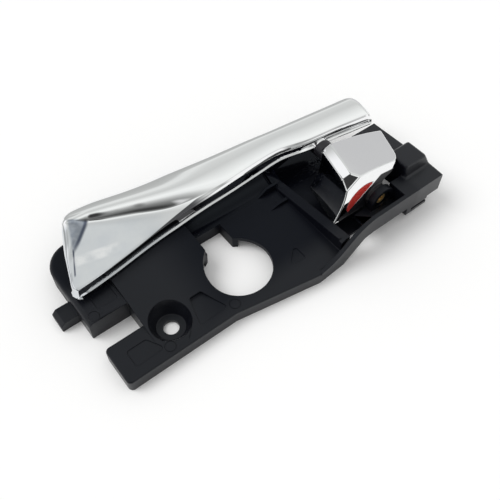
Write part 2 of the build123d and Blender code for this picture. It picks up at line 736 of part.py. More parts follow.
with BuildPart() as lock_knob:
    # Plan outline with a round front corner, then the side profile run back on a lean
    with BuildSketch() as knob_plan:
        with BuildLine():
            Polyline(
                (KNOB_TIP[0], KNOB_FRONT),
                (KNOB_FRONT_RIGHT, KNOB_FRONT),
                KNOB_BACK_RIGHT,
                KNOB_BACK_LEFT,
                close=True,
            )
        make_face()
        front_corners = knob_plan.vertices().group_by(Axis.Y)[0]
        fillet(front_corners.sort_by(Axis.X)[-1], radius=KNOB_CORNER_R)
    extrude(amount=2 * KNOB_EDGE[1])
    with BuildSketch(Plane.XZ.offset(-KNOB_FRONT)):
        with BuildLine():
            ThreePointArc(KNOB_TIP, KNOB_WAIST, KNOB_SHOULDER)
            Line(KNOB_SHOULDER, KNOB_EDGE)
            ThreePointArc(KNOB_EDGE, KNOB_CREST, KNOB_END)
            Polyline(
                KNOB_END,
                (KNOB_END[0], KNOB_END[1] - KNOB_LIP),
                KNOB_FLANK,
                (HINGE_X, HINGE_Z - BARREL_R),
                KNOB_HEEL,
                KNOB_TIP,
            )
        make_face()
    extrude(amount=-2 * KNOB_FRONT, dir=knob_way, mode=Mode.INTERSECT)
    # Rounded rim of the top
    knob_top = lock_knob.faces().sort_by(Axis.Z)[-1]
    fillet(knob_top.edges(), radius=KNOB_EDGE_R)
    # Hollow between the cheeks, open below
    with BuildSketch(Plane.XZ.offset(-KNOB_FRONT - KNOB_CHEEK)):
        with BuildLine():
            ThreePointArc(
                (KNOB_TIP[0] + 2 * KNOB_SKIN, 0),
                (KNOB_WAIST[0] + KNOB_SKIN, KNOB_WAIST[1]),
                (KNOB_SHOULDER[0] + 2 * KNOB_SKIN, KNOB_SHOULDER[1] - KNOB_SKIN),
            )
            Polyline(
                (KNOB_SHOULDER[0] + 2 * KNOB_SKIN, KNOB_SHOULDER[1] - KNOB_SKIN),
                (KNOB_CREST[0], KNOB_CREST[1] - KNOB_SKIN),
                (KNOB_END[0] + KNOB_SKIN, KNOB_END[1] - KNOB_SKIN),
                (KNOB_END[0] + KNOB_SKIN, 0),
                (KNOB_TIP[0] + 2 * KNOB_SKIN, 0),
            )
        make_face()
    extrude(amount=KNOB_BACK_CHEEK - KNOB_FRONT - KNOB_CHEEK, dir=knob_way, mode=Mode.SUBTRACT)
    # Barrel on the hinge pin, with the arm for the lock rod
    with BuildSketch(hinge_plane.offset(-BARREL_BACK)):
        Circle(BARREL_R)
    extrude(amount=BARREL_BACK - BARREL_FRONT)
    with BuildSketch(hinge_plane.offset(-KNOB_ARM_Y)):
        with Locations((0, -ARM_DROP)):
            Circle(ARM_R)
        with Locations((0, -ARM_DROP / 2)):
            Rectangle(2 * ARM_R, ARM_DROP)
    extrude(amount=ARM_T)
    with BuildSketch(hinge_plane.offset(-BARREL_BACK)):
        Circle(bore_r)
        with Locations((0, -ARM_DROP)):
            Circle(ROD_R)
    extrude(amount=BARREL_BACK - BARREL_FRONT, mode=Mode.SUBTRACT)
    # Seat of the red flag
    with BuildSketch(Plane.XZ.offset(-KNOB_FRONT - FLAG_DEPTH)):
        with BuildLine():
            ThreePointArc(FLAG_LOW, FLAG_BULGE, FLAG_HIGH)
            Line(FLAG_HIGH, FLAG_LOW)
        make_face()
    extrude(amount=FLAG_DEPTH, mode=Mode.SUBTRACT)

with BuildPart() as unlock_flag:
    with BuildSketch(Plane.XZ.offset(-KNOB_FRONT - FLAG_DEPTH)):
        with BuildLine():
            ThreePointArc(FLAG_LOW, FLAG_BULGE, FLAG_HIGH)
            Line(FLAG_HIGH, FLAG_LOW)
        make_face()
    extrude(amount=FLAG_DEPTH + FLAG_PROUD)

with BuildPart() as hinge_pin:
    with BuildSketch(hinge_plane.offset(-rear_lug_end)):
        Circle(PIN_R)
    extrude(amount=rear_lug_end - LUG_FRONT - PIN_SINK)
    # Dimple left in the front end by the press
    with BuildSketch(hinge_plane.offset(-LUG_FRONT - PIN_SINK - PIN_DIMPLE)):
        Circle(PIN_DIMPLE_R)
    extrude(amount=PIN_DIMPLE, mode=Mode.SUBTRACT)

with BuildPart() as return_spring:
    # Coil round the pin, a short leg under the hook and a long leg under the bar
    with BuildLine() as spring_path:
        Polyline(
            (HINGE_X - LEG_HOOK, COIL_BACK, HINGE_Z - COIL_R),
            *[
                (
                    HINGE_X + COIL_R * sin(COIL_STEP * step),
                    COIL_BACK - COIL_PITCH * COIL_STEP * step / (2 * pi),
                    HINGE_Z - COIL_R * cos(COIL_STEP * step),
                )
                for step in range(COIL_STEPS + 1)
            ],
            (
                HINGE_X + COIL_R * sin(coil_turn) + LEG_BAR * cos(coil_turn),
                COIL_BACK - COIL_PITCH * coil_turn / (2 * pi),
                HINGE_Z - COIL_R * cos(coil_turn) + LEG_BAR * sin(coil_turn),
            ),
        )
    wire_path = spring_path.wires()[0]
    with BuildSketch(Plane(origin=wire_path @ 0, z_dir=wire_path % 0)):
        Circle(WIRE_R)
    sweep(path=wire_path, transition=Transition.RIGHT)

with BuildPart() as rest_pad:
    with BuildSketch(Plane.XY.offset(EAR_TOP - RELIEF - MARK_RISE)):
        with Locations((PAD_X, PAD_Y)):
            Circle(PAD_R)
    extrude(amount=PAD_TOP - EAR_TOP + RELIEF + MARK_RISE)

housing.part.label = "housing"
pull_handle.part.label = "pull_handle"
lock_knob.part.label = "lock_knob"
unlock_flag.part.label = "unlock_flag"
hinge_pin.part.label = "hinge_pin"
return_spring.part.label = "return_spring"
rest_pad.part.label = "rest_pad"

os.makedirs("parts", exist_ok=True)
export_step(housing.part, "parts/housing.step")
export_step(pull_handle.part, "parts/pull_handle.step")
export_step(lock_knob.part, "parts/lock_knob.step")
export_step(unlock_flag.part, "parts/unlock_flag.step")
export_step(hinge_pin.part, "parts/hinge_pin.step")
export_step(return_spring.part, "parts/return_spring.step")
export_step(rest_pad.part, "parts/rest_pad.step")
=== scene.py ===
"""Dresses the interior door handle: plated lever and knob, moulded housing, pin, spring and pad."""
import logging
import math
from contextlib import contextmanager
from dataclasses import dataclass
from enum import Enum, IntEnum
from functools import cached_property
from typing import Any, Iterator, Optional, Sequence, Union

import bpy
import numpy as np
from mathutils import Matrix, Vector


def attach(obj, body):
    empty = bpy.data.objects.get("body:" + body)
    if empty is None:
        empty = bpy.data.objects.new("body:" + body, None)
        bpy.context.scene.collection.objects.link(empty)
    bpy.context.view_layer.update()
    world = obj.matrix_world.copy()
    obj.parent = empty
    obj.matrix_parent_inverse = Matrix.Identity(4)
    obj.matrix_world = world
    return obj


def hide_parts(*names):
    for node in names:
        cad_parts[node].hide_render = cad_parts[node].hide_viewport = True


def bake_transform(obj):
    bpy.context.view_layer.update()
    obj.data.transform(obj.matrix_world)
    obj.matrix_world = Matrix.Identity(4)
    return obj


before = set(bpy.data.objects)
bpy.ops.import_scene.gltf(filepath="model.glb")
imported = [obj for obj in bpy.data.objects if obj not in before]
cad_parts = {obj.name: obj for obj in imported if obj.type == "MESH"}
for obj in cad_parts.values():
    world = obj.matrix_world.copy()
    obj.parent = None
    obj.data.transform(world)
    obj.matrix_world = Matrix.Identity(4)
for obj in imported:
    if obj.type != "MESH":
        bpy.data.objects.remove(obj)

LOG = logging.getLogger("door_handle")
MM = 0.001
MM_PER_M = 1000.0
MERGE_MM = 0.004
FLAT_DEG = 0.4
HINGE_X = 55.5
HINGE_Z = 13.6
EYE_RADIUS = 5.3
PLATEAU = (0.0, 1.0, 1.0, 0.0)
RGB = tuple[float, float, float]
Point = tuple[float, float, float]
Span = tuple[float, float]
Band = tuple[Span, Span]
Value = Union["Sock", float, int]
WHITE: RGB = (1.0, 1.0, 1.0)


class Sock:
    """A shader value that can be written in sums."""

    def __init__(self, graph: "Graph", socket: bpy.types.NodeSocket) -> None:
        """Keeps the socket and the graph it belongs to."""
        self.graph = graph
        self.socket = socket

    def _math(self, operation: str, first: Value, second: Value, clamp: bool = False) -> "Sock":
        """Adds one Math node.

        Args:
            operation: the Math node's operation.
            first: the first value.
            second: the second value.
            clamp: whether the result is held between 0 and 1.

        Returns:
            The node's result.
        """
        settings = {"operation": operation, "use_clamp": clamp}
        return self.graph.add("ShaderNodeMath", settings, {0: first, 1: second})

    def __add__(self, other: Value) -> "Sock":
        """Sum."""
        return self._math("ADD", self, other)

    def __radd__(self, other: Value) -> "Sock":
        """Sum with the number first."""
        return self._math("ADD", other, self)

    def __sub__(self, other: Value) -> "Sock":
        """Difference."""
        return self._math("SUBTRACT", self, other)

    def __rsub__(self, other: Value) -> "Sock":
        """Difference with the number first."""
        return self._math("SUBTRACT", other, self)

    def __mul__(self, other: Value) -> "Sock":
        """Product."""
        return self._math("MULTIPLY", self, other)

    def __rmul__(self, other: Value) -> "Sock":
        """Product with the number first."""
        return self._math("MULTIPLY", other, self)

    def __lt__(self, other: Value) -> "Sock":
        """1 where this is less than the other."""
        return self._math("LESS_THAN", self, other)

    def __gt__(self, other: Value) -> "Sock":
        """1 where this is more than the other."""
        return self._math("GREATER_THAN", self, other)

    def most(self, other: Value) -> "Sock":
        """The larger of the two."""
        return self._math("MAXIMUM", self, other)

    def root(self) -> "Sock":
        """Square root."""
        return self._math("POWER", self, 0.5)

    def held(self) -> "Sock":
        """The value held between 0 and 1."""
        return self._math("ADD", self, 0.0, clamp=True)

    def step(self, low: float, high: float) -> "Sock":
        """Rises smoothly from 0 at low to 1 at high.

        Args:
            low: where the rise begins.
            high: where the rise ends.

        Returns:
            The eased value.
        """
        settings = {"interpolation_type": "SMOOTHSTEP"}
        return self.graph.add("ShaderNodeMapRange", settings, {"Value": self, 1: low, 2: high})

    def fade(self, low: float, high: float) -> "Sock":
        """Falls smoothly from 1 at low to 0 at high."""
        return 1.0 - self.step(low, high)

    def band(self, rise: Span, fall: Span) -> "Sock":
        """1 between a smooth rise and a smooth fall, 0 outside them."""
        return self.step(*rise) * self.fade(*fall)


class Graph:
    """A node tree that is filled by one method."""

    def __init__(self, tree: bpy.types.NodeTree) -> None:
        """Empties the tree and keeps it."""
        self.tree = tree
        tree.nodes.clear()

    def add(self, kind: str, settings: Optional[dict[str, Any]] = None,
            inputs: Optional[dict[Union[int, str], Any]] = None, out: Union[int, str] = 0) -> Sock:
        """Adds a node, its settings first and its sockets after.

        Args:
            kind: the node's type.
            settings: attributes of the node; "stops" holds a ramp's places and colours.
            inputs: a value or a Sock for each socket, by name or number.
            out: which output is given back.

        Returns:
            The chosen output.
        """
        node = self.tree.nodes.new(kind)
        for key, value in (settings or {}).items():
            if key == "stops":
                ramp = node.color_ramp
                while len(ramp.elements) < len(value):
                    ramp.elements.new(1.0)
                for element, (place, colour) in zip(ramp.elements, value):
                    element.position = place
                    element.color = (*colour, 1.0)
            else:
                setattr(node, key, value)
        for key, value in (inputs or {}).items():
            if isinstance(value, Sock):
                self.tree.links.new(value.socket, node.inputs[key])
            elif value is not None:
                node.inputs[key].default_value = value
        return Sock(self, node.outputs[out])

    def place(self) -> tuple[Sock, Sock, Sock, Sock]:
        """Object coordinates.

        Returns:
            The vector in metres, then its X, Y and Z in millimetres.
        """
        spot = self.add("ShaderNodeTexCoord", out="Object")
        parts = [self.add("ShaderNodeSeparateXYZ", None, {0: spot}, axis) * MM_PER_M for axis in "XYZ"]
        return (spot, *parts)

    def noise(self, spot: Sock, grain_mm: float, detail: float = 3.0, rough: float = 0.5) -> Sock:
        """Noise of a given grain.

        Args:
            spot: the coordinates in metres.
            grain_mm: the size of a blotch.
            detail: octaves.
            rough: how strong the finer octaves are.

        Returns:
            The noise, from 0 to 1.
        """
        inputs = {"Vector": spot, "Scale": MM_PER_M / grain_mm, "Detail": detail, "Roughness": rough}
        return self.add("ShaderNodeTexNoise", None, inputs, "Fac")

    def mix(self, factor: Value, first: Any, second: Any) -> Sock:
        """Mixes two colours.

        Args:
            factor: 0 gives the first, 1 the second.
            first: a colour or a Sock.
            second: a colour or a Sock.

        Returns:
            The mixed colour.
        """
        ends = [value if isinstance(value, Sock) else (*value, 1.0) for value in (first, second)]
        settings = {"data_type": "RGBA"}
        return self.add("ShaderNodeMix", settings, {0: factor, 6: ends[0], 7: ends[1]}, 2)

    def bump(self, height: Sock, depth_mm: float, strength: float) -> Sock:
        """Turns a height into a normal.

        Args:
            height: the height, from 0 to 1.
            depth_mm: how deep the height goes.
            strength: how strongly it shows.

        Returns:
            The normal.
        """
        inputs = {"Height": height, "Distance": depth_mm * MM, "Strength": strength}
        return self.add("ShaderNodeBump", None, inputs)

    def surface(self, **inputs: Any) -> None:
        """Ends the tree in one Principled shader with these sockets."""
        named = {key.replace("_", " "): value for key, value in inputs.items()}
        self.close("ShaderNodeOutputMaterial", self.add("ShaderNodeBsdfPrincipled", None, named))

    def close(self, kind: str, shader: Sock) -> None:
        """Links a shader to a new output node."""
        self.tree.links.new(shader.socket, self.tree.nodes.new(kind).inputs["Surface"])


def new_material(name: str) -> tuple[bpy.types.Material, Graph]:
    """Makes an empty node material.

    Args:
        name: its name.

    Returns:
        The material and its graph.
    """
    material = bpy.data.materials.new(name)
    material.use_nodes = True
    return material, Graph(material.node_tree)


def hinge_square(x: Sock, z: Sock) -> Sock:
    """The square of the distance from the hinge axis."""
    across, rise = x - HINGE_X, z - HINGE_Z
    return across * across + rise * rise


@dataclass(frozen=True)
class Slant:
    """A slanted line on a piece: a place on it, and the way in which a place lies off it."""

    at: Span
    way: Span

    def off(self, first: Sock, second: Sock) -> Sock:
        """How far a place, given on two axes, lies off the line."""
        return (first - self.at[0]) * self.way[0] + (second - self.at[1]) * self.way[1]


class Bare(Enum):
    """Where a plated piece shows its black core."""

    LEVER_EYE = "lever eye"
    KNOB_CORE = "knob core"


@dataclass(frozen=True)
class TipScuffAndPaintedShade:
    """Tones of the lever's tip: a greyer face that is painted shade toning down its reflection, a painted
    reflection on the slope, painted dark reflection streaks along the fold and beside it, painted shade in
    the groove, and a scuffed patch that is rougher and worn, with a painted white highlight.
    """

    # Greyer plating on the face below the crease: painted shade that tones down its reflection.
    painted_face_shade_pale: RGB = (0.76, 0.775, 0.78)
    painted_face_shade_deep: RGB = (0.63, 0.66, 0.70)
    face_mm: float = 7.0
    face: Slant = Slant((-60.0, 34.0), (-0.478, -1.0))
    face_edge: Span = (-0.5, 3.0)
    face_end_x: Span = (-36.0, -20.0)
    # A blue-grey tone on the slope: a painted reflection.
    painted_slope_reflection: RGB = (0.30, 0.33, 0.38)
    painted_slope_reflection_share: float = 0.6
    fleck_mm: float = 2.4
    brow: Slant = Slant((-60.4, 36.0), (-0.66, -1.0))
    brow_edge: Span = (-0.4, 0.8)
    slope: Slant = Slant((-66.1, 21.4), (0.932, -0.364))
    slope_edge: Span = (-0.8, 0.8)
    # Dark lines along the fold and beside it: painted reflection streaks.
    dark: RGB = (0.06, 0.075, 0.12)
    dark_share: float = 0.9
    fold: Slant = Slant((-66.1, 21.4), (0.655, -0.756))
    fold_edge: Span = (-0.5, 0.5)
    painted_fold_band: Band = ((-1.1, -0.1), (0.1, 1.3))
    painted_fold_y: Span = (20.5, 26.0)
    painted_streak: Slant = Slant((-66.1, 21.4), (0.898, -0.44))
    painted_streak_band: Band = ((-0.5, -0.1), (0.1, 0.5))
    painted_streak_y: Band = ((11.5, 13.0), (22.0, 24.0))
    # A dark tone in the groove under the lip: painted shade.
    groove: RGB = (0.085, 0.085, 0.09)
    lip: Slant = Slant((-58.0, 7.9), (0.154, -1.0))
    lip_edge: Span = (0.0, 0.35)
    groove_x: Band = ((-68.0, -62.0), (-15.0, -1.0))
    painted_groove_shade_y: Span = (14.65, 15.0)
    painted_groove_shade_z: Span = (15.6, 16.0)
    # The scuffed patch is rougher and worn, and its white is a painted highlight.
    scuff_mm: float = 6.0
    scuff_patch: Span = (0.30, 0.75)
    scuff_along: Slant = Slant((-58.0, 15.9), (0.978, -0.208))
    scuff_across: Slant = Slant((-58.0, 15.9), (0.208, 0.978))
    scuff_band: Band = ((-11.0, -8.0), (5.0, 11.0))
    scuff_square: Span = (0.6, 9.0)

    def over(self, graph: Graph, plate: Sock, spot: Sock, x: Sock, y: Sock, z: Sock) -> tuple[Sock, Sock]:
        """Lays the tones over the plating: painted shade, painted reflections and a scuffed patch with a
        painted highlight.

        Args:
            graph: the material's graph.
            plate: the plating's colour.
            spot: the coordinates in metres.
            x: X in millimetres.
            y: Y in millimetres.
            z: Z in millimetres.

        Returns:
            The colour with the tones, and the mask of the scuffed patch and its painted highlight.
        """
        # Painted shade: the face below the crease is greyer to tone down its reflection.
        below = self.face.off(x, y).step(*self.face_edge) * x.fade(*self.face_end_x)
        face = graph.mix(graph.noise(spot, self.face_mm, detail=2.0), self.painted_face_shade_deep, self.painted_face_shade_pale)
        plate = graph.mix(below, plate, face)
        under = self.brow.off(x, y).step(*self.brow_edge)
        away = self.fold.off(x, y)
        slope = self.slope.off(x, y).step(*self.slope_edge) * away.fade(*self.fold_edge) * under
        # Painted reflection: a flecked blue-grey tone on the slope.
        painted_slope_reflection = self.painted_slope_reflection_share + self.painted_slope_reflection_share * graph.noise(spot, self.fleck_mm)
        plate = graph.mix(slope * painted_slope_reflection, plate, self.painted_slope_reflection)
        # Painted reflection: dark streaks along the fold line and beside it.
        fold = away.band(*self.painted_fold_band) * y.step(*self.painted_fold_y) * under
        painted_streak = self.painted_streak.off(x, y).band(*self.painted_streak_band) * y.band(*self.painted_streak_y)
        plate = graph.mix(fold.most(painted_streak) * self.dark_share, plate, self.dark)
        # Painted shade: a dark tone in the groove under the lip.
        groove = self.lip.off(x, y).step(*self.lip_edge) * y.fade(*self.painted_groove_shade_y) * z.step(*self.painted_groove_shade_z)
        plate = graph.mix(groove * x.band(*self.groove_x), plate, self.groove)
        # A scuffed patch: rougher, worn plating with a painted white highlight.
        across = self.scuff_across.off(x, y)
        zone = self.scuff_along.off(x, y).band(*self.scuff_band) * (across * across).fade(*self.scuff_square)
        scuff_and_highlight = zone * graph.noise(spot, self.scuff_mm, detail=2.0, rough=0.4).step(*self.scuff_patch)
        return graph.mix(scuff_and_highlight, plate, WHITE), scuff_and_highlight


@dataclass(frozen=True)
class BrightPlate:
    """Bright plating with faint smears, and the black core where it is bare."""

    name: str
    bare: Bare
    pale: RGB = (0.93, 0.935, 0.935)
    deep: RGB = (0.86, 0.87, 0.88)
    core: RGB = (0.012, 0.012, 0.015)
    rough: float = 0.05
    smear: float = 0.05
    core_rough: float = 0.3
    scuff_rough: float = 0.25
    cloud_mm: float = 26.0
    wipe_mm: float = 3.2
    wave_mm: float = 9.0
    wave: float = 0.004
    # Painted shade and reflections at the tip, and a scuffed patch with a painted highlight.
    tip_scuff_and_painted_shade: TipScuffAndPaintedShade = TipScuffAndPaintedShade()
    eye_edge: Slant = Slant((56.0, 9.5), (0.12, 1.0))
    eye_x: Span = (47.0, 64.0)
    eye_floor: float = 12.5
    core_front: Slant = Slant((41.4, 11.9), (10.3, -12.8))
    core_top: Slant = Slant((40.3, 27.4), (0.17, 1.0))
    core_sole: Slant = Slant((31.8, 9.6), (-0.373, 1.0))
    core_left: float = 35.0
    core_side: float = -22.0
    flare: float = 0.55
    flare_top: float = 30.0
    flare_side: float = -24.6

    def _bare_mask(self, x: Sock, y: Sock, z: Sock) -> Sock:
        """1 where the core shows.

        Args:
            x: X in millimetres.
            y: Y in millimetres.
            z: Z in millimetres.

        Returns:
            The mask.
        """
        if self.bare is Bare.LEVER_EYE:
            eye = (self.eye_edge.off(x, y) < 0.0) * (x > self.eye_x[0]) * (x < self.eye_x[1])
            return eye.most(z < self.eye_floor)
        hub = hinge_square(x, z) < EYE_RADIUS**2
        chord = (self.core_front.off(x, z) > 0.0) * (self.core_top.off(x, z) < 0.0)
        sole = (self.core_sole.off(x, z) < 0.0) * (x > self.core_left)
        return (chord.most(sole) * (y < self.core_side)).most(hub)

    def material(self) -> bpy.types.Material:
        """Builds the finish.

        Returns:
            The material.
        """
        made, graph = new_material(self.name)
        spot, x, y, z = graph.place()
        mask = self._bare_mask(x, y, z)
        cloud = graph.noise(spot, self.cloud_mm, detail=2.0)
        wipe = graph.noise(spot, self.wipe_mm, detail=4.0, rough=0.6)
        plate = graph.mix(cloud, self.deep, self.pale)
        rough = self.rough + self.smear * wipe * cloud
        wave = graph.noise(spot, self.wave_mm, detail=1.0) * self.wave
        if self.bare is Bare.LEVER_EYE:
            # Painted shade, painted reflections and a scuffed patch with a painted highlight at the tip.
            plate, scuff_and_highlight = self.tip_scuff_and_painted_shade.over(graph, plate, spot, x, y, z)
            rough = rough + scuff_and_highlight * self.scuff_rough
        else:
            wave = wave + (self.flare_top - z) * self.flare * (y < self.flare_side)
        normal = graph.bump(wave, depth_mm=1.0, strength=1.0)
        graph.surface(Base_Color=graph.mix(mask, plate, self.core), Metallic=1.0 - mask,
                      Roughness=rough + mask * self.core_rough, Normal=normal)
        return made


@dataclass(frozen=True)
class MouldedBlack:
    """Satin black moulding with a fine grain, a glossier finger pocket, and a coat at front and ends."""

    name: str
    pale: RGB = (0.0048, 0.0054, 0.0090)
    deep: RGB = (0.0016, 0.0019, 0.0036)
    tint: tuple[float, float, float, float] = (0.80, 0.90, 1.0, 1.0)
    rough: float = 0.34
    spread: float = 0.16
    shine: float = 0.15
    cloud_mm: float = 18.0
    cloud_share: float = 0.7
    grain_mm: float = 0.45
    grain_share: float = 0.3
    grain_depth: float = 0.04
    grain_strength: float = 0.18
    pocket_x: Band = ((-22.0, -19.0), (66.0, 70.0))
    pocket_y: Span = (4.0, 10.0)
    pocket_rough: float = 0.13
    pocket_calm: float = 0.8
    coat: float = 0.42
    coat_rough: float = 0.4
    front_y: Span = (-34.0, -22.0)
    block_x: Span = (62.0, 72.0)
    block_coat: float = 1.5
    tongue_x: Span = (-44.0, -20.0)
    tongue_y: Span = (8.0, 18.0)

    def material(self) -> bpy.types.Material:
        """Builds the finish.

        Returns:
            The material.
        """
        made, graph = new_material(self.name)
        spot, x, y, _ = graph.place()
        cloud = graph.noise(spot, self.cloud_mm)
        grain = graph.noise(spot, self.grain_mm, detail=2.0)
        pocket = y.step(*self.pocket_y) * x.band(*self.pocket_x)
        rough = (self.rough + self.spread * cloud) * (1.0 - pocket) + pocket * self.pocket_rough
        colour = graph.mix(cloud * self.cloud_share + grain * self.grain_share, self.deep, self.pale)
        height = grain * (1.0 - pocket * self.pocket_calm)
        coat = y.fade(*self.front_y).most(x.step(*self.block_x) * self.block_coat)
        coat = coat.most(x.fade(*self.tongue_x) * y.fade(*self.tongue_y))
        graph.surface(Base_Color=colour, Roughness=rough,
                      Normal=graph.bump(height, self.grain_depth, self.grain_strength),
                      Specular_IOR_Level=self.shine, Specular_Tint=self.tint,
                      Coat_Weight=coat * self.coat, Coat_Roughness=self.coat_rough)
        return made


@dataclass(frozen=True)
class GlossPaint:
    """Glossy coloured plastic with slight cloudiness."""

    name: str
    pale: RGB
    deep: RGB
    rough: float = 0.22
    spread: float = 0.1
    cloud_mm: float = 4.0
    grain_mm: float = 0.6

    def material(self) -> bpy.types.Material:
        """Builds the finish.

        Returns:
            The material.
        """
        made, graph = new_material(self.name)
        spot, _, _, _ = graph.place()
        cloud = graph.noise(spot, self.cloud_mm)
        colour = graph.mix(cloud, self.deep, self.pale)
        normal = graph.bump(graph.noise(spot, self.grain_mm, detail=2.0), depth_mm=0.02, strength=0.15)
        graph.surface(Base_Color=colour, Roughness=self.rough + self.spread * cloud, Normal=normal)
        return made


@dataclass(frozen=True)
class TurnedMetal:
    """Metal with fine turning rings about the hinge axis."""

    name: str
    pale: RGB
    deep: RGB
    rough: float
    ring_mm: float
    metal: float = 1.0
    spread: float = 0.15
    cloud_mm: float = 1.6

    def material(self) -> bpy.types.Material:
        """Builds the finish.

        Returns:
            The material.
        """
        made, graph = new_material(self.name)
        spot, x, _, z = graph.place()
        turns = hinge_square(x, z).root() * (math.tau / self.ring_mm)
        rings = graph.add("ShaderNodeMath", {"operation": "SINE"}, {0: turns})
        cloud = graph.noise(spot, self.cloud_mm)
        colour = graph.mix(cloud, self.deep, self.pale)
        graph.surface(Base_Color=colour, Metallic=self.metal, Roughness=self.rough + self.spread * cloud,
                      Normal=graph.bump(rings * 0.5 + 0.5, depth_mm=0.02, strength=0.3))
        return made


@dataclass(frozen=True)
class SoftRubber:
    """Matt rubber with a dusty grain."""

    name: str
    pale: RGB = (0.035, 0.035, 0.036)
    deep: RGB = (0.015, 0.015, 0.015)
    rough: float = 0.7
    spread: float = 0.2
    dust_mm: float = 0.5

    def material(self) -> bpy.types.Material:
        """Builds the finish.

        Returns:
            The material.
        """
        made, graph = new_material(self.name)
        spot, _, _, _ = graph.place()
        dust = graph.noise(spot, self.dust_mm, detail=4.0)
        colour = graph.mix(dust, self.deep, self.pale)
        normal = graph.bump(dust, depth_mm=0.05, strength=0.3)
        graph.surface(Base_Color=colour, Roughness=self.rough + self.spread * dust, Normal=normal)
        return made


@dataclass(frozen=True)
class PaleFloor:
    """Matt white floor, hardly clouded."""

    name: str
    pale: RGB = (1.0, 1.0, 0.995)
    deep: RGB = (0.985, 0.985, 0.98)
    rough: float = 0.8
    shine: float = 0.1
    cloud_mm: float = 240.0

    def material(self) -> bpy.types.Material:
        """Builds the finish.

        Returns:
            The material.
        """
        made, graph = new_material(self.name)
        spot, _, _, _ = graph.place()
        colour = graph.mix(graph.noise(spot, self.cloud_mm, detail=2.0), self.deep, self.pale)
        graph.surface(Base_Color=colour, Roughness=self.rough, Specular_IOR_Level=self.shine)
        return made


def pick_only(piece: bpy.types.Object) -> None:
    """Selects one object and nothing else.

    Args:
        piece: the object.
    """
    bpy.ops.object.select_all(action="DESELECT")
    piece.select_set(True)
    bpy.context.view_layer.objects.active = piece


@contextmanager
def editing(pick: Optional[str] = "SELECT") -> Iterator[None]:
    """Holds the active piece in edit mode while a block runs.

    Args:
        pick: the action of select_all at the start; None leaves the selection.

    Yields:
        Nothing.
    """
    bpy.ops.object.mode_set(mode="EDIT")
    if pick:
        bpy.ops.mesh.select_all(action=pick)
    yield
    bpy.ops.object.mode_set(mode="OBJECT")


def apply_modifier(piece: bpy.types.Object, kind: str, **settings: Any) -> None:
    """Adds a modifier to the active piece and applies it.

    Args:
        piece: the active piece.
        kind: the modifier's type.
        settings: its settings.
    """
    modifier = piece.modifiers.new(kind.lower(), kind)
    for key, value in settings.items():
        setattr(modifier, key, value)
    bpy.ops.object.modifier_apply(modifier=modifier.name)


def smooth(angle_deg: float) -> None:
    """Shades the active piece smooth, except over edges sharper than this."""
    bpy.ops.object.shade_smooth_by_angle(angle=math.radians(angle_deg))


def dress(piece: bpy.types.Object, material: bpy.types.Material) -> None:
    """Gives a piece one material.

    Args:
        piece: the piece.
        material: the material.
    """
    if len(piece.material_slots) == 0:
        piece.data.materials.append(material)
    for place in piece.material_slots:
        place.material = material


def merged_copy(node: str, name: str, flat_deg: float) -> bpy.types.Object:
    """Copies a CAD node's mesh, joins its loose triangles and clears flat edges.

    Args:
        node: the CAD node.
        name: the new piece's name.
        flat_deg: edges flatter than this are dissolved; 0 keeps them.

    Returns:
        The new piece, selected and active.
    """
    piece = bpy.data.objects.new(name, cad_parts[node].data.copy())
    bpy.context.scene.collection.objects.link(piece)
    pick_only(piece)
    if piece.data.has_custom_normals:
        bpy.ops.mesh.customdata_custom_splitnormals_clear()
    with editing():
        bpy.ops.mesh.remove_doubles(threshold=MERGE_MM * MM)
        if flat_deg > 0.0:
            bpy.ops.mesh.dissolve_limited(angle_limit=math.radians(flat_deg))
    return piece


def ease_edges(piece: bpy.types.Object, width_mm: float, segments: int, angle_deg: float) -> None:
    """Rounds the sharp edges of a piece and shades it.

    Args:
        piece: the piece.
        width_mm: the width of the rounding.
        segments: its steps.
        angle_deg: edges sharper than this are rounded.
    """
    pick_only(piece)
    apply_modifier(piece, "BEVEL", width=width_mm * MM, segments=segments, limit_method="ANGLE",
                   angle_limit=math.radians(angle_deg), use_clamp_overlap=False)
    smooth(angle_deg)
    apply_modifier(piece, "WEIGHTED_NORMAL", keep_sharp=True)


def hold_near(piece: bpy.types.Object, node: str, far_mm: float) -> int:
    """Puts points that a rounding threw off back on the CAD surface.

    Args:
        piece: the rounded copy.
        node: the CAD node it was copied from.
        far_mm: how far a point may stand off.

    Returns:
        How many points were put back.
    """
    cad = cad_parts[node]
    strays = 0
    for vertex in piece.data.vertices:
        found, near, _, _ = cad.closest_point_on_mesh(vertex.co)
        if found and (near - vertex.co).length > far_mm * MM:
            vertex.co = near
            strays += 1
    return strays


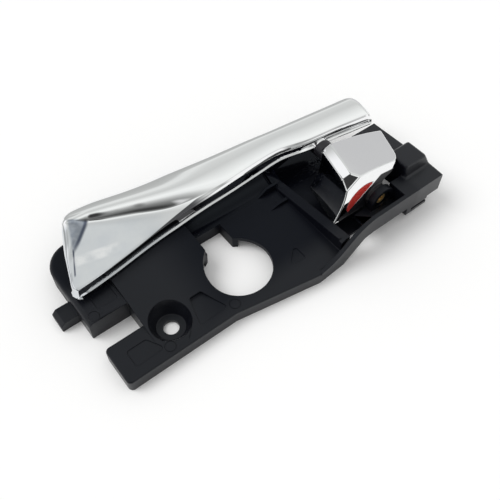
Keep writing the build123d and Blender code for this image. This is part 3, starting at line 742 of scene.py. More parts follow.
@dataclass
class Housing:
    """The moulded black housing."""

    finish: MouldedBlack = MouldedBlack("moulded_black")
    edge_mm: float = 0.3
    edge_steps: int = 2
    sharp_deg: float = 38.0
    block_mm: float = 1.1
    block_steps: int = 3
    block_from: Point = (69.0, 3.0, 12.0)
    stray_share: float = 0.6

    def _soften_block(self, shell: bpy.types.Object) -> None:
        """Rounds the end block's sharp edges more than the rest.

        Args:
            shell: the housing's copy.
        """
        with editing("DESELECT"):
            bpy.ops.mesh.select_mode(type="EDGE")
            bpy.ops.mesh.edges_select_sharp(sharpness=math.radians(self.sharp_deg))
        weight = shell.data.attributes.new("bevel_weight_edge", "FLOAT", "EDGE")
        left, back, low = self.block_from
        for edge in shell.data.edges:
            ends = [shell.data.vertices[number].co / MM for number in edge.vertices]
            block = all(end.x > left and end.y < back and end.z > low for end in ends)
            weight.data[edge.index].value = float(edge.select and block)
        apply_modifier(shell, "BEVEL", width=self.block_mm * MM, segments=self.block_steps,
                       limit_method="WEIGHT", use_clamp_overlap=False)

    def build(self) -> bpy.types.Object:
        """Rounds a copy of the housing's edges and dresses it.

        Returns:
            The copy.
        """
        shell = merged_copy("housing", "housing_shell", FLAT_DEG)
        self._soften_block(shell)
        ease_edges(shell, self.edge_mm, self.edge_steps, self.sharp_deg)
        strays = hold_near(shell, "housing", self.block_mm * self.stray_share)
        LOG.info("housing points put back: %d", strays)
        dress(shell, self.finish.material())
        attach(shell, "frame")
        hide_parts("housing")
        return shell


class Side(IntEnum):
    """The sides of the bar's plan outline, each from the corner of the same number to the next."""

    TIP = 0
    BACK = 1
    END = 2
    FRONT = 3


@dataclass(frozen=True)
class Steps:
    """How many steps each stretch of the bar's outline across has."""

    wall: int = 4
    roll: int = 8
    brow: int = 10
    crown: int = 18
    facet: int = 18
    bend: int = 4
    front: int = 5

    @property
    def fold(self) -> int:
        """The step at the crease."""
        return self.wall + self.roll + self.brow + self.crown

    @property
    def brink(self) -> int:
        """The last step of the lip's bend."""
        return self.fold + self.facet + self.bend


def rows_of(first: Any, second: Any) -> np.ndarray:
    """Pairs two arrays, or an array and a number, into rows."""
    return np.stack(np.broadcast_arrays(first, second), axis=1)


@dataclass
class PullLever:
    """The plated pull lever: a smooth skin over the hollow bar, and the bar's inside.

    A row holds lip Y, face edge Z, crease Y, crease Z, back Y and bottom Z, and rows stand at an even pitch
    along X. A station is a place on the spline through them, with a swell of the back and the crown's pitch.
    A corner of the plan outline holds X, Y and the radius of its rounding.
    """

    finish: BrightPlate = BrightPlate("lever_plate", Bare.LEVER_EYE)
    rows: tuple[tuple[float, ...], ...] = (
        (5.0, 17.6, 39.4, 21.4, 43.9, 13.0),
        (6.4, 17.7, 37.4, 21.2, 42.0, 13.0),
        (7.4, 17.8, 34.6, 21.0, 40.1, 13.0),
        (9.1, 17.8, 28.3, 21.0, 38.6, 13.0),
        (10.8, 18.2, 23.0, 21.0, 36.3, 13.0),
        (11.9, 18.9, 17.4, 20.8, 34.4, 13.0),
        (12.8, 19.3, 15.4, 20.4, 32.6, 13.0),
        (13.3, 19.3, 14.9, 20.3, 30.9, 13.0),
        (14.0, 19.3, 15.4, 20.3, 29.3, 13.0),
        (14.7, 19.3, 16.1, 20.3, 28.0, 13.2),
        (14.4, 19.1, 15.8, 20.2, 26.6, 14.2),
        (11.6, 19.0, 13.0, 20.2, 25.3, 15.0),
        (10.2, 19.0, 11.6, 20.2, 24.2, 15.0),
        (8.5, 19.0, 9.9, 20.2, 23.2, 15.0),
        (6.7, 19.0, 8.1, 20.2, 22.2, 15.0),
        (5.0, 19.0, 6.4, 20.2, 21.2, 15.0),
    )
    row_start: float = -84.0
    row_pitch: float = 12.0
    station_x: tuple[float, ...] = (
        -84.0, -60.0, -54.0, -48.0, -42.0, -36.0, -30.0, -24.0, -16.0, -8.0, 4.0,
        16.0, 24.0, 30.0, 36.0, 42.0, 48.0, 56.0, 64.0, 72.0, 96.0)
    back_swell: tuple[float, ...] = (
        0.7, 0.9, 0.9, 0.9, 0.7, 0.5, 0.3, 0.2, 0.3, 0.3, 0.4,
        0.7, 0.8, 0.8, 0.7, 0.7, 0.7, 0.6, 0.4, 0.2, 0.0)
    pitches: tuple[float, ...] = (
        28.0, 28.0, 28.0, 28.0, 28.0, 28.0, 27.5, 26.0, 21.5, 17.0, 14.0,
        14.0, 14.0, 14.0, 14.0, 14.0, 14.0, 14.0, 14.0, 14.0, 14.0)
    steps: Steps = Steps()
    back_z: float = 20.0
    roll_share: float = 0.25
    roll_turn: float = 50.0
    crown_share: float = 0.67
    bead: float = 0.75
    bead_face: float = 0.5
    bead_top: float = 1.0
    bead_raise: float = 0.4
    bead_x: tuple[float, ...] = (-24.0, -8.0, 34.0, 44.0)
    lip_rounds: Span = (0.5, 1.05)
    lip_x: Span = (-40.0, 0.0)
    groove: float = 0.35
    groove_x: tuple[float, ...] = (-70.0, -50.0, 0.0, 20.0, 48.0)
    groove_depth: tuple[float, ...] = (0.3, 1.0, 0.9, 0.8, 0.1)
    strip_lift: float = -0.55
    strip_x: tuple[float, ...] = (-24.0, -8.0, 36.0, 46.0)
    undercut: float = 0.7
    undercut_x: Span = (44.0, 50.0)
    dish: float = 0.5
    dish_reach: float = 2.0
    dish_span: float = 8.0
    corners: tuple[Point, ...] = (
        (-74.52, 5.2, 3.6), (-60.3, 41.7, 8.5), (84.5, 23.2, 11.5), (84.5, 3.0, 5.0))
    left_x: Span = (-84.0, -20.0)
    right_x: Span = (60.0, 96.0)
    halvings: int = 40
    tip_rounds: Span = (1.3, 3.0)
    tip_y: Span = (6.0, 15.0)
    tip_slope: float = 0.4
    tip_bulge: tuple[tuple[float, ...], tuple[float, ...]] = (
        (0.0, 8.0, 16.0, 24.0, 32.0, 41.0), (1.0, 1.3, 1.8, 2.1, 1.7, 1.0))
    bulge_reach: float = 9.0
    tip_skirt: tuple[Span, ...] = ((0.35, 0.0), (0.70, 0.05), (0.84, 0.5), (0.93, 0.85), (1.0, 0.9))
    skirt_y: Span = (9.0, 13.0)
    end_skirt: tuple[float, ...] = (0.4, 0.8, 1.0)
    skirt_feet: Span = (13.0, 15.0)
    border_y: tuple[float, ...] = (5.0, 9.5, 14.5, 19.8, 25.0, 31.0, 35.0)
    border_x: tuple[float, ...] = (-72.6, -71.0, -69.0, -66.4, -60.5, -53.9, -50.0)
    border_rise: tuple[float, ...] = (0.4, 0.6, 0.8, 0.9, 1.0, 1.0, 0.9)
    border_least: float = 1.5
    border_share: float = 0.6
    border_steps: int = 12
    ease_rounds: int = 6
    ease_share: float = 0.5
    corner_share: float = 0.1
    corner_steps: int = 4
    end_round: float = 2.6
    skin_mm: float = 0.4
    skin_deg: float = 40.0
    inset_mm: float = 0.7
    inset_deg: float = 35.0
    eye_back: float = 13.6
    foot_z: float = 13.1
    end_foot_x: float = 22.0
    end_foot_z: float = 15.1
    main_columns: int = 150
    main_crowding: float = 1.25
    rim_columns: int = 10
    rim_widths: Span = (3.4, 6.0)

    @cached_property
    def stations(self) -> np.ndarray:
        """Stations worked out from the rows, by a cubic spline through them.

        Returns:
            X and the section's values there, by station.
        """
        rows = np.array(self.rows)
        count = len(rows)
        bend = np.zeros_like(rows)
        bend[1:-1] = 6.0 * (rows[2:] - 2.0 * rows[1:-1] + rows[:-2])
        matrix = 4.0 * np.eye(count) + np.eye(count, k=1) + np.eye(count, k=-1)
        matrix[0, :3] = matrix[-1, -3:] = (1.0, -2.0, 1.0)
        bend = np.linalg.solve(matrix, bend)
        place = (np.array(self.station_x) - self.row_start) / self.row_pitch
        low = np.clip(place.astype(int), 0, count - 2)
        after = (place - low)[:, None]
        before = 1.0 - after
        values = before * rows[low] + after * rows[low + 1]
        values += ((before**3 - before) * bend[low] + (after**3 - after) * bend[low + 1]) / 6.0
        values[:, 4] += self.back_swell
        return np.round(np.column_stack([self.station_x, values, self.pitches]), 2)

    def _at(self, x: np.ndarray) -> list[np.ndarray]:
        """Station values eased between the stations.

        Args:
            x: places along the bar.

        Returns:
            One array per station value.
        """
        table = self.stations
        at = table[:, 0]
        slot = np.clip(np.searchsorted(at, x) - 1, 0, len(at) - 2)
        span = at[slot + 1] - at[slot]
        t = (x - at[slot]) / span
        found = []
        for column in range(1, table.shape[1]):
            values = table[:, column]
            slopes = np.gradient(values, at)
            start, stop = values[slot], values[slot + 1]
            leave, arrive = slopes[slot] * span, slopes[slot + 1] * span
            found.append((2 * t**3 - 3 * t**2 + 1) * start + (t**3 - 2 * t**2 + t) * leave
                         + (3 * t**2 - 2 * t**3) * stop + (t**3 - t**2) * arrive)
        return found

    @staticmethod
    def _arc(start: np.ndarray, stop: np.ndarray, way: np.ndarray, steps: int) -> np.ndarray:
        """Points of arcs that leave start along way and reach stop.

        Args:
            start: where each arc begins, as rows of Y and Z.
            stop: where each arc ends.
            way: the direction it sets out in.
            steps: how many points, the first one left out.

        Returns:
            Points, by row, step and axis.
        """
        side = np.stack([-way[:, 1], way[:, 0]], axis=1)
        chord = stop - start
        lean = np.sum(chord * side, axis=1)
        lean = np.where(np.abs(lean) < 1e-6, 1e-6, lean)
        radius = np.sum(chord * chord, axis=1) / (2.0 * lean)
        centre = start + side * radius[:, None]
        first = np.arctan2(start[:, 1] - centre[:, 1], start[:, 0] - centre[:, 0])
        last = np.arctan2(stop[:, 1] - centre[:, 1], stop[:, 0] - centre[:, 0])
        turn = np.mod(last - first + math.pi, 2 * math.pi) - math.pi
        share = np.linspace(0.0, 1.0, steps + 1)[1:]
        angle = first[:, None] + turn[:, None] * share[None, :]
        reach = np.abs(radius)[:, None]
        return np.stack([centre[:, :1] + reach * np.cos(angle),
                         centre[:, 1:] + reach * np.sin(angle)], axis=2)

    @staticmethod
    def _line(start: np.ndarray, stop: np.ndarray, steps: int, first: bool = False) -> np.ndarray:
        """Evenly spaced points from start to stop.

        Args:
            start: where each line begins.
            stop: where each line ends.
            steps: how many points after the first.
            first: whether the first point is kept.

        Returns:
            Points, by row, step and axis.
        """
        share = np.linspace(0.0, 1.0, steps + 1)[0 if first else 1:]
        return start[:, None, :] + (stop - start)[:, None, :] * share[None, :, None]

    def section(self, x: np.ndarray) -> np.ndarray:
        """The bar's outline across, from the foot of its back over the crown to the bead.

        Args:
            x: places along the bar.

        Returns:
            Points, by place, step and axis Y or Z.
        """
        steps = self.steps
        lip, edge, crease, crease_z, back, bottom, pitch = self._at(x)
        crease_z = crease_z - self.groove * np.interp(x, self.groove_x, self.groove_depth)
        edge = edge + self.strip_lift * np.interp(x, self.strip_x, PLATEAU)
        ledge = bottom + self.bead_raise * np.interp(x, self.bead_x, PLATEAU)
        roll = self.roll_share * (back - crease)
        turn = math.radians(self.roll_turn)
        brow = rows_of(back - roll + roll * math.cos(turn), self.back_z + roll * math.sin(turn))
        crown_y = crease + self.crown_share * (back - crease)
        crown = rows_of(crown_y, brow[:, 1] + (brow[:, 0] - crown_y) * np.tan(np.radians(pitch)))
        fall = np.radians(90.0 - self.roll_turn - 2.0 * pitch)
        shoulder = rows_of(back, self.back_z)
        valley = rows_of(crease, crease_z)
        rim = rows_of(lip, edge)
        inward = (valley - rim) / np.linalg.norm(valley - rim, axis=1)[:, None]
        rounding = np.interp(x, self.lip_x, self.lip_rounds)[:, None]
        top = rim + inward * rounding
        under = rim - np.array([0.0, 1.0]) * rounding
        share = np.linspace(0.0, 1.0, steps.bend + 2)[None, 1:-1, None]
        bend = ((1.0 - share) ** 2 * top[:, None] + 2.0 * share * (1.0 - share) * rim[:, None]
                + share**2 * under[:, None])
        cut_in = self.undercut * np.interp(x, self.undercut_x, (0.0, 1.0))
        points = np.concatenate([
            self._line(rows_of(back, bottom), shoulder, steps.wall, True),
            self._arc(shoulder, brow, rows_of(np.zeros_like(x), 1.0), steps.roll),
            self._arc(brow, crown, rows_of(np.full_like(x, -math.sin(turn)), math.cos(turn)), steps.brow),
            self._arc(crown, valley, rows_of(-np.cos(fall), -np.sin(fall)), steps.crown),
            self._line(valley, top, steps.facet),
            bend,
            self._line(under, rows_of(lip + cut_in, ledge + self.bead_top), steps.front, True),
            rows_of(lip - self.bead, ledge + self.bead_face)[:, None],
            rows_of(lip - self.bead, bottom)[:, None],
            rows_of(lip + self.bead, bottom)[:, None],
        ], axis=1)
        fold = steps.fold
        span = np.linalg.norm(valley - top, axis=1)[:, None]
        share = np.linspace(0.0, 1.0, steps.facet + 1)[None, 1:]
        depth = self.dish * np.minimum(1.0, span / self.dish_span)
        sag = depth * (1.0 - np.exp(-share * span / self.dish_reach)) * (1.0 - share)
        points[:, fold + 1:fold + 1 + steps.facet, 1] -= sag
        points[:, fold] = 0.25 * points[:, fold - 1] + 0.5 * points[:, fold] + 0.25 * points[:, fold + 1]
        return points

    def _sides(self) -> tuple[list[np.ndarray], list[np.ndarray]]:
        """The plan outline without its roundings.

        Returns:
            Its corners, and the unit way from each corner to the next.
        """
        spots = [np.array(corner[:2]) for corner in self.corners]
        legs = [spots[number + 1 - len(spots)] - spot for number, spot in enumerate(spots)]
        return spots, [leg / np.linalg.norm(leg) for leg in legs]

    def _off_centre(self, here: np.ndarray, number: int) -> np.ndarray:
        """Where places lie from the centre of a corner's rounding.

        Args:
            here: the places, with X and Y on the last axis.
            number: the corner.

        Returns:
            The way from the centre to each place.
        """
        spots, ways = self._sides()
        before, after = ways[number - 1], ways[number]
        half = 0.5 * math.acos(float(np.clip(-before @ after, -1.0, 1.0)))
        axis = (after - before) / np.linalg.norm(after - before)
        return here - (spots[number] + axis * self.corners[number][2] / math.sin(half))

    def _inside(self, x: np.ndarray, y: np.ndarray, edges: Sequence[Side]) -> np.ndarray:
        """Distance inside the rounded plan outline.

        Args:
            x: places along the bar.
            y: places across it.
            edges: which sides of the outline count.

        Returns:
            Distances in millimetres, negative outside.
        """
        spots, ways = self._sides()
        here = np.stack([x, y], axis=-1)
        best = np.full(x.shape, 1e9)
        for edge in edges:
            best = np.minimum(best, (here - spots[edge]) @ np.array([ways[edge][1], -ways[edge][0]]))
        for number, (_, _, radius) in enumerate(self.corners):
            if (number - 1) % len(spots) in edges or number in edges:
                off = self._off_centre(here, number)
                zone = ((off @ ways[number - 1]) > 0.0) & ((off @ -ways[number]) > 0.0)
                best = np.where(zone, np.minimum(best, radius - np.linalg.norm(off, axis=-1)), best)
        return best

    def _ends(self, low: float, high: float, edges: Sequence[Side]) -> np.ndarray:
        """Where each line along the bar meets the outline.

        Args:
            low: a place outside the outline for the left end, inside for the right.
            high: a place on the other side.
            edges: the sides of the outline at this end.

        Returns:
            One X per step of the section.
        """
        count = self.section(np.array([0.0])).shape[1]
        rows = np.arange(count)
        start = np.full(count, low)
        stop = np.full(count, high)
        sign = 1.0 if low < 0.0 else -1.0
        for _ in range(self.halvings):
            middle = 0.5 * (start + stop)
            y = self.section(middle)[rows, rows, 0]
            inside = self._inside(middle, y, edges) * sign > 0.0
            stop = np.where(inside, middle, stop)
            start = np.where(inside, start, middle)
        return 0.5 * (start + stop)

    def _rim_drop(self, x: np.ndarray, y: np.ndarray, edge: Side, radius: np.ndarray) -> np.ndarray:
        """How far the rounded rim along one side of the outline falls below the face.

        Args:
            x: places along the bar.
            y: places across it.
            edge: the side of the outline.
            radius: the rounding at each place.

        Returns:
            The fall in millimetres, fading out round the corners.
        """
        spots, ways = self._sides()
        here = np.stack([x, y], axis=-1)
        way = ways[edge]
        side = np.array([way[1], -way[0]])
        inside = (here - spots[edge]) @ side
        weight = np.ones_like(inside)
        for number, along in ((edge, -way), ((edge + 1) % len(spots), way)):
            off = self._off_centre(here, number)
            reach = np.linalg.norm(off, axis=-1) + 1e-9
            outward = off @ -side
            past = (off @ along) > 0.0
            zone = past & (outward > 0.0)
            inside = np.where(zone, self.corners[number][2] - reach, inside)
            weight = np.where(zone, (outward / reach) ** 2, weight)
            weight = np.where(past & (outward <= 0.0), 0.0, weight)
        short = np.clip(radius - inside, 0.0, radius)
        return weight * (radius - np.sqrt(radius * radius - short * short))

    def _border(self, x: np.ndarray, y: np.ndarray) -> np.ndarray:
        """How far the rolled border of the tip stands over the face.

        Args:
            x: places along the bar.
            y: places across it.

        Returns:
            The rise in millimetres.
        """
        valley = np.interp(y, self.border_y, self.border_x)
        rise = np.interp(y, self.border_y, self.border_rise)
        rim = self.corners[Side.TIP][0] + (y - self.corners[Side.TIP][1]) * self.tip_slope
        width = self.border_share * np.maximum(valley - rim, self.border_least)
        return rise * np.sin(0.5 * math.pi * np.clip((valley - x) / width, 0.0, 1.0))

    def _grid(self) -> np.ndarray:
        """All points of the skin.

        Returns:
            Points, by column along the bar, step across and axis.
        """
        left = self._ends(*self.left_x, (Side.TIP, Side.BACK))
        right = self._ends(*self.right_x, (Side.BACK, Side.END, Side.FRONT))
        count = len(left)
        rim = 1.0 - np.cos(np.linspace(0.0, 0.5 * math.pi, self.rim_columns))
        near = left[:, None] + self.rim_widths[0] * rim[None, :]
        far = right[:, None] - self.rim_widths[1] * rim[None, ::-1]
        share = np.linspace(0.0, 1.0, self.main_columns)[1:-1] ** self.main_crowding
        long = near[:, -1:] + (far[:, :1] - near[:, -1:]) * share[None, :]
        x = np.concatenate([near, long, far], axis=1)
        wall, fold, brink = self.steps.wall, self.steps.fold, self.steps.brink
        rows = np.arange(count)
        raised_at = (fold - self.border_steps, fold, fold + self.steps.facet, brink + 1)
        raised = np.interp(rows, raised_at, PLATEAU)
        grid = np.zeros((x.shape[1], count, 3))
        for column in range(x.shape[1]):
            places = x[:, column]
            points = self.section(places)
            y = points[rows, rows, 0]
            z = points[rows, rows, 1] + raised * self._border(places, y)
            fall = self._rim_drop(places, y, Side.TIP, np.interp(y, self.tip_y, self.tip_rounds))
            fall = fall + self._rim_drop(places, y, Side.END, np.full(count, self.end_round))
            z[wall:brink + 1] -= fall[wall:brink + 1]
            z[brink + 1:] = np.minimum(z[brink + 1:], z[brink])
            z[:wall] = np.minimum(z[:wall], z[wall])
            near_tip = np.clip(self._inside(places, y, (Side.TIP,)), 0.0, None)
            swell = np.interp(y, *self.tip_bulge) * np.exp(-(near_tip / self.bulge_reach) ** 2)
            grid[column] = np.stack([places - swell, y, z], axis=1)
        tip_foot, end_foot = self.skirt_feet
        first = [self._skirt(grid[0], left, tip_foot, drop, out) for drop, out in self.tip_skirt]
        last = [self._skirt(grid[-1], right, end_foot, drop, 0.0) for drop in self.end_skirt]
        skin = np.concatenate([np.stack(first[::-1]), grid, np.stack(last)], axis=0)
        return self._eased(skin, brink - self.corner_steps)

    def _eased(self, points: np.ndarray, front: int) -> np.ndarray:
        """Smooths the steps of the tip's rim, most at its edge and less inwards.

        Args:
            points: the skin's points.
            front: the step across from which the front corner is smoothed too.

        Returns:
            The smoothed points.
        """
        eased = points.copy()
        reach = len(self.tip_skirt) + self.rim_columns
        weight = np.sqrt(np.linspace(1.0, 0.0, reach))[1:, None, None]
        for _ in range(self.ease_rounds):
            middle = 0.5 * (eased[:reach - 1] + eased[2:reach + 1])
            eased[1:reach] += self.ease_share * weight * (middle - eased[1:reach])
            corner = eased[1:reach, front:]
            middle = 0.5 * (corner[:, :-2] + corner[:, 2:])
            corner[:, 1:-1] += self.corner_share * weight * (middle - corner[:, 1:-1])
        return eased

    def _skirt(self, rim: np.ndarray, ends: np.ndarray, foot: float, drop: float, out: float) -> np.ndarray:
        """One level of an end wall under the rim.

        Args:
            rim: the rim's points.
            ends: where the rim meets the outline.
            foot: the height of the wall's foot.
            drop: how far down, from 0 at the rim to 1 at the foot.
            out: how far the level stands out.

        Returns:
            The level's points.
        """
        level = rim.copy()
        low = np.minimum(foot, rim[:, 2])
        level[:, 2] = rim[:, 2] + (low - rim[:, 2]) * drop
        y = rim[:, 1]
        tiny = 0.05
        edges = (Side.TIP, Side.BACK)
        slope_x = self._inside(ends + tiny, y, edges) - self._inside(ends - tiny, y, edges)
        slope_y = self._inside(ends, y + tiny, edges) - self._inside(ends, y - tiny, edges)
        push = out * np.interp(y, self.skirt_y, (1.0, 0.0)) / (np.hypot(slope_x, slope_y) + 1e-9)
        level[:, 0] -= push * slope_x
        level[:, 1] -= push * slope_y
        return level

    def _skin(self) -> bpy.types.Object:
        """Shapes a grid into the bar's bright skin.

        Returns:
            The skin.
        """
        points = self._grid()
        columns, rows, _ = points.shape
        bpy.ops.object.select_all(action="DESELECT")
        bpy.ops.mesh.primitive_grid_add(x_subdivisions=columns - 1, y_subdivisions=rows - 1, size=1.0)
        skin = bpy.context.object
        skin.name = "lever_skin"
        order = sorted(skin.data.vertices, key=lambda vertex: (round(vertex.co.x, 5), round(vertex.co.y, 5)))
        for vertex, point in zip(order, points.reshape(-1, 3)):
            vertex.co = Vector(point) * MM
        pick_only(skin)
        with editing():
            bpy.ops.mesh.remove_doubles(threshold=MERGE_MM * MM)
            bpy.ops.mesh.dissolve_degenerate(threshold=0.5 * MERGE_MM * MM)
            bpy.ops.mesh.normals_make_consistent(inside=False)
        self._face_out(skin)
        apply_modifier(skin, "SOLIDIFY", thickness=self.skin_mm * MM, offset=-1.0)
        smooth(self.skin_deg)
        return skin

    @staticmethod
    def _face_out(skin: bpy.types.Object) -> None:
        """Flips the skin if its crown looks down.

        Args:
            skin: the skin, still one sheet.
        """
        up = sum(face.normal.z * face.area for face in skin.data.polygons)
        if up < 0.0:
            with editing():
                bpy.ops.mesh.flip_normals()

    def _inner(self) -> bpy.types.Object:
        """Copies the bar and draws its walls in under the skin.

        Returns:
            The copy.
        """
        inner = merged_copy("pull_handle", "lever_inside", 0.0)
        for vertex in inner.data.vertices:
            x, y, z = (value / MM for value in vertex.co)
            eye = math.hypot(x - HINGE_X, z - HINGE_Z) < EYE_RADIUS and y < self.eye_back
            vertex.select = not eye and z > (self.end_foot_z if x > self.end_foot_x else self.foot_z)
        with editing(None):
            bpy.ops.mesh.select_mode(type="VERT")
            bpy.ops.transform.shrink_fatten(value=-self.inset_mm * MM)
        smooth(self.inset_deg)
        return inner

    def build(self) -> tuple[bpy.types.Object, bpy.types.Object]:
        """Builds the skin and the inside, and dresses both.

        Returns:
            The skin and the inside.
        """
        skin = self._skin()
        inner = self._inner()
        material = self.finish.material()
        for piece in (skin, inner):
            dress(piece, material)
            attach(piece, "lever")
        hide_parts("pull_handle")
        return skin, inner


@dataclass
class LockKnob:
    """The plated lock knob and its red flag."""

    finish: BrightPlate = BrightPlate("knob_plate", Bare.KNOB_CORE)
    flag: GlossPaint = GlossPaint("flag_red", (0.72, 0.075, 0.06), (0.60, 0.04, 0.035))
    edge_mm: float = 0.75
    edge_steps: int = 4
    sharp_deg: float = 36.0
    stray_mm: float = 3.0
    corner_at: Point = (38.4, -19.5, 31.1)
    corner_way: Point = (-0.55, -0.40, 0.73)

    def build(self) -> tuple[bpy.types.Object, bpy.types.Object]:
        """Rounds a copy of the knob's edges and dresses knob and flag.

        Returns:
            The knob and the flag.
        """
        knob = merged_copy("lock_knob", "knob_shell", FLAT_DEG)
        with editing():
            bpy.ops.mesh.bisect(plane_co=Vector(self.corner_at) * MM, plane_no=self.corner_way,
                                use_fill=True, clear_outer=True)
        ease_edges(knob, self.edge_mm, self.edge_steps, self.sharp_deg)
        LOG.info("knob points put back: %d", hold_near(knob, "lock_knob", self.stray_mm))
        dress(knob, self.finish.material())
        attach(knob, "lock")
        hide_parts("lock_knob")
        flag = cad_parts["unlock_flag"]
        dress(flag, self.flag.material())
        return knob, flag


@dataclass
class HingeSet:
    """Pin, spring and rest pad."""

    pin: TurnedMetal = TurnedMetal("pin_yellow", (0.90, 0.70, 0.34), (0.74, 0.50, 0.20),
                                   rough=0.5, ring_mm=0.5, metal=0.7)
    wire: TurnedMetal = TurnedMetal("spring_wire", (0.62, 0.62, 0.64), (0.42, 0.42, 0.44),
                                    rough=0.3, ring_mm=0.4)
    pad: SoftRubber = SoftRubber("pad_rubber")
    wire_deg: float = 50.0
    hooked_mm: Point = (HINGE_X, 17.2, HINGE_Z)
    pushed_mm: Point = (HINGE_X, 14.6, HINGE_Z)

    def _spring(self) -> bpy.types.Object:
        """Copies the spring, shades it smooth and dresses it; in the handle it winds up between its hooked
        leg and the lever.

        Returns:
            The copy.
        """
        coil = merged_copy("return_spring", "spring_coil", 0.0)
        smooth(self.wire_deg)
        dress(coil, self.wire.material())
        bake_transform(coil)
        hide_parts("return_spring")
        return coil

    def build(self) -> list[bpy.types.Object]:
        """Dresses pin and pad, and builds the spring.

        Returns:
            The pieces.
        """
        pieces = [self._spring()]
        for node, finish in (("hinge_pin", self.pin), ("rest_pad", self.pad)):
            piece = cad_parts[node]
            dress(piece, finish.material())
            pieces.append(piece)
        return pieces


@dataclass(frozen=True)
class Panel:
    """A soft round patch of the studio, pale or dark, seen only in reflections."""

    way: Point
    inner_deg: float
    outer_deg: float
    level: float
    cool: float = 1.01

    def over(self, graph: Graph, way: Sock, room: Sock) -> Sock:
        """Lays the patch over the room.

        Args:
            graph: the world's graph.
            way: the direction looked in.
            room: the colour so far.

        Returns:
            The colour with this patch.
        """
        aim = Vector(self.way).normalized()
        near = graph.add("ShaderNodeVectorMath", {"operation": "DOT_PRODUCT"}, {0: way, 1: aim}, "Value")
        mask = near.step(math.cos(math.radians(self.outer_deg)), math.cos(math.radians(self.inner_deg)))
        return graph.mix(mask, room, (self.level, self.level, self.level * self.cool))


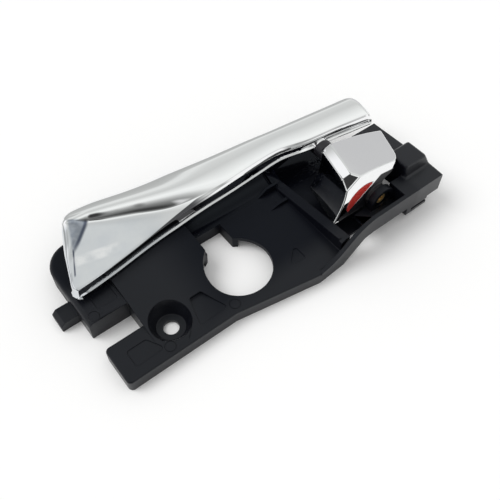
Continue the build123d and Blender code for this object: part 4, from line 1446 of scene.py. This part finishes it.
@dataclass
class Studio:
    """White floor, soft light and the camera.

    A strip of the mirrored room holds its level and, before it, its turn about X in degrees: 0 is the back,
    90 is overhead and 180 is the front.
    """

    camera_mm: Point = (-101.3, -133.1, 222.1)
    azimuth: float = -38.958
    elevation: float = 54.265
    roll: float = 1.188
    focal_px: float = 626.43
    frame_px: float = 500.0
    sensor: float = 36.0
    clip_start: float = 0.01
    floor: PaleFloor = PaleFloor("floor_white")
    floor_size: float = 6.0
    floor_drop: float = 0.05
    fill: float = 0.70
    key_power: float = 1.32
    key_spread: float = 38.0
    key_from: Point = (-0.40, 0.32, 0.62)
    strips: tuple[Span, ...] = (
        (0.0, 0.45), (34.0, 0.49), (52.0, 0.55), (61.0, 0.80), (70.0, 0.82), (78.0, 0.70), (87.0, 0.64),
        (97.0, 0.82), (106.0, 0.97), (114.0, 0.90), (122.0, 0.60), (130.0, 0.40), (138.0, 0.25),
        (147.0, 0.16), (156.0, 0.05), (180.0, 0.04))
    strip_green: float = 1.015
    panels: tuple[Panel, ...] = (
        Panel((-0.66, -0.36, 0.66), 16.0, 26.0, 0.04),
        Panel((-0.55, 0.45, 0.70), 15.0, 22.0, 1.0),
        Panel((0.82, 0.42, 0.40), 12.0, 22.0, 0.60),
    )
    right_x: Span = (0.05, 0.30)
    right_y: Span = (-0.42, -0.20)
    right_z: Span = (0.58, 0.70)
    low_z: Span = (0.03, 0.13)

    def _floor(self) -> None:
        """A plain pale floor."""
        bpy.ops.object.select_all(action="DESELECT")
        bpy.ops.mesh.primitive_plane_add(size=self.floor_size, location=(0.0, 0.0, -self.floor_drop * MM))
        floor = bpy.context.object
        floor.name = "floor"
        dress(floor, self.floor.material())

    def _room(self, graph: Graph) -> Sock:
        """The plain studio that the bright parts mirror.

        Args:
            graph: the world's graph.

        Returns:
            Its colour by direction.
        """
        way = graph.add("ShaderNodeTexCoord", out="Generated")
        dx, dy, dz = (graph.add("ShaderNodeSeparateXYZ", None, {0: way}, axis) for axis in "XYZ")
        stops = [(turn / 180.0, (level, level * self.strip_green, level)) for turn, level in self.strips]
        turn = graph.add("ShaderNodeMath", {"operation": "ARCTAN2"}, {0: dz, 1: dy}) * (1.0 / math.pi)
        room = graph.add("ShaderNodeValToRGB", {"stops": stops}, {0: turn.held()})
        right = dx.step(*self.right_x) * dy.fade(*self.right_y) * dz.fade(*self.right_z)
        room = graph.mix(right, room, WHITE)
        for panel in self.panels:
            room = panel.over(graph, way, room)
        return graph.mix(dz.step(*self.low_z), WHITE, room)

    def _world(self) -> None:
        """Even fill light, the room in reflections, and white behind everything."""
        world = bpy.data.worlds.new("studio")
        world.use_nodes = True
        bpy.context.scene.world = world
        graph = Graph(world.node_tree)
        rays = ("Is Camera Ray", "Is Glossy Ray", "Is Transmission Ray")
        seen, glossy, through = (graph.add("ShaderNodeLightPath", out=ray) for ray in rays)
        colour = graph.mix(glossy.most(through), (self.fill, self.fill, self.fill), self._room(graph))
        colour = graph.mix(seen, colour, WHITE)
        graph.close("ShaderNodeOutputWorld", graph.add("ShaderNodeBackground", None, {"Color": colour}))

    def _key(self) -> None:
        """The broad key light, even over the whole floor."""
        data = bpy.data.lights.new("key", "SUN")
        data.angle = math.radians(self.key_spread)
        data.energy = self.key_power
        lamp = bpy.data.objects.new("key", data)
        lamp.location = Vector(self.key_from)
        lamp.rotation_euler = (-Vector(self.key_from)).to_track_quat("-Z", "Y").to_euler()
        lamp.visible_glossy = False
        bpy.context.scene.collection.objects.link(lamp)

    def _camera(self) -> None:
        """The camera at the photograph's angle."""
        turn, rise, tilt = (math.radians(value) for value in (self.azimuth, self.elevation, self.roll))
        right = Vector((math.cos(turn), math.sin(turn), 0.0))
        up = Vector((-math.sin(turn) * math.sin(rise), math.cos(turn) * math.sin(rise), math.cos(rise)))
        back = Vector((math.sin(turn) * math.cos(rise), -math.cos(turn) * math.cos(rise), math.sin(rise)))
        right, up = (math.cos(tilt) * right + math.sin(tilt) * up,
                     math.cos(tilt) * up - math.sin(tilt) * right)
        data = bpy.data.cameras.new("camera")
        data.sensor_width = self.sensor
        data.lens = self.focal_px * self.sensor / self.frame_px
        data.clip_start = self.clip_start
        camera = bpy.data.objects.new("camera", data)
        aim = Matrix((right, up, back)).transposed().to_4x4()
        camera.matrix_world = Matrix.Translation(Vector(self.camera_mm) * MM) @ aim
        bpy.context.scene.collection.objects.link(camera)
        bpy.context.scene.camera = camera

    def build(self) -> None:
        """Sets floor, light, camera and view."""
        self._floor()
        self._world()
        self._key()
        self._camera()
        bpy.context.scene.view_settings.view_transform = "Standard"


def main() -> None:
    """Builds every piece in order and logs their names."""
    logging.basicConfig(level=logging.INFO, format="%(name)s: %(message)s")
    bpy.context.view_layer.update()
    LOG.info("housing: %s", Housing().build().name)
    LOG.info("lever: %s", ", ".join(piece.name for piece in PullLever().build()))
    LOG.info("knob: %s", ", ".join(piece.name for piece in LockKnob().build()))
    LOG.info("hinge: %s", ", ".join(piece.name for piece in HingeSet().build()))
    Studio().build()
    LOG.info("studio set")


if __name__ == "__main__":
    main()
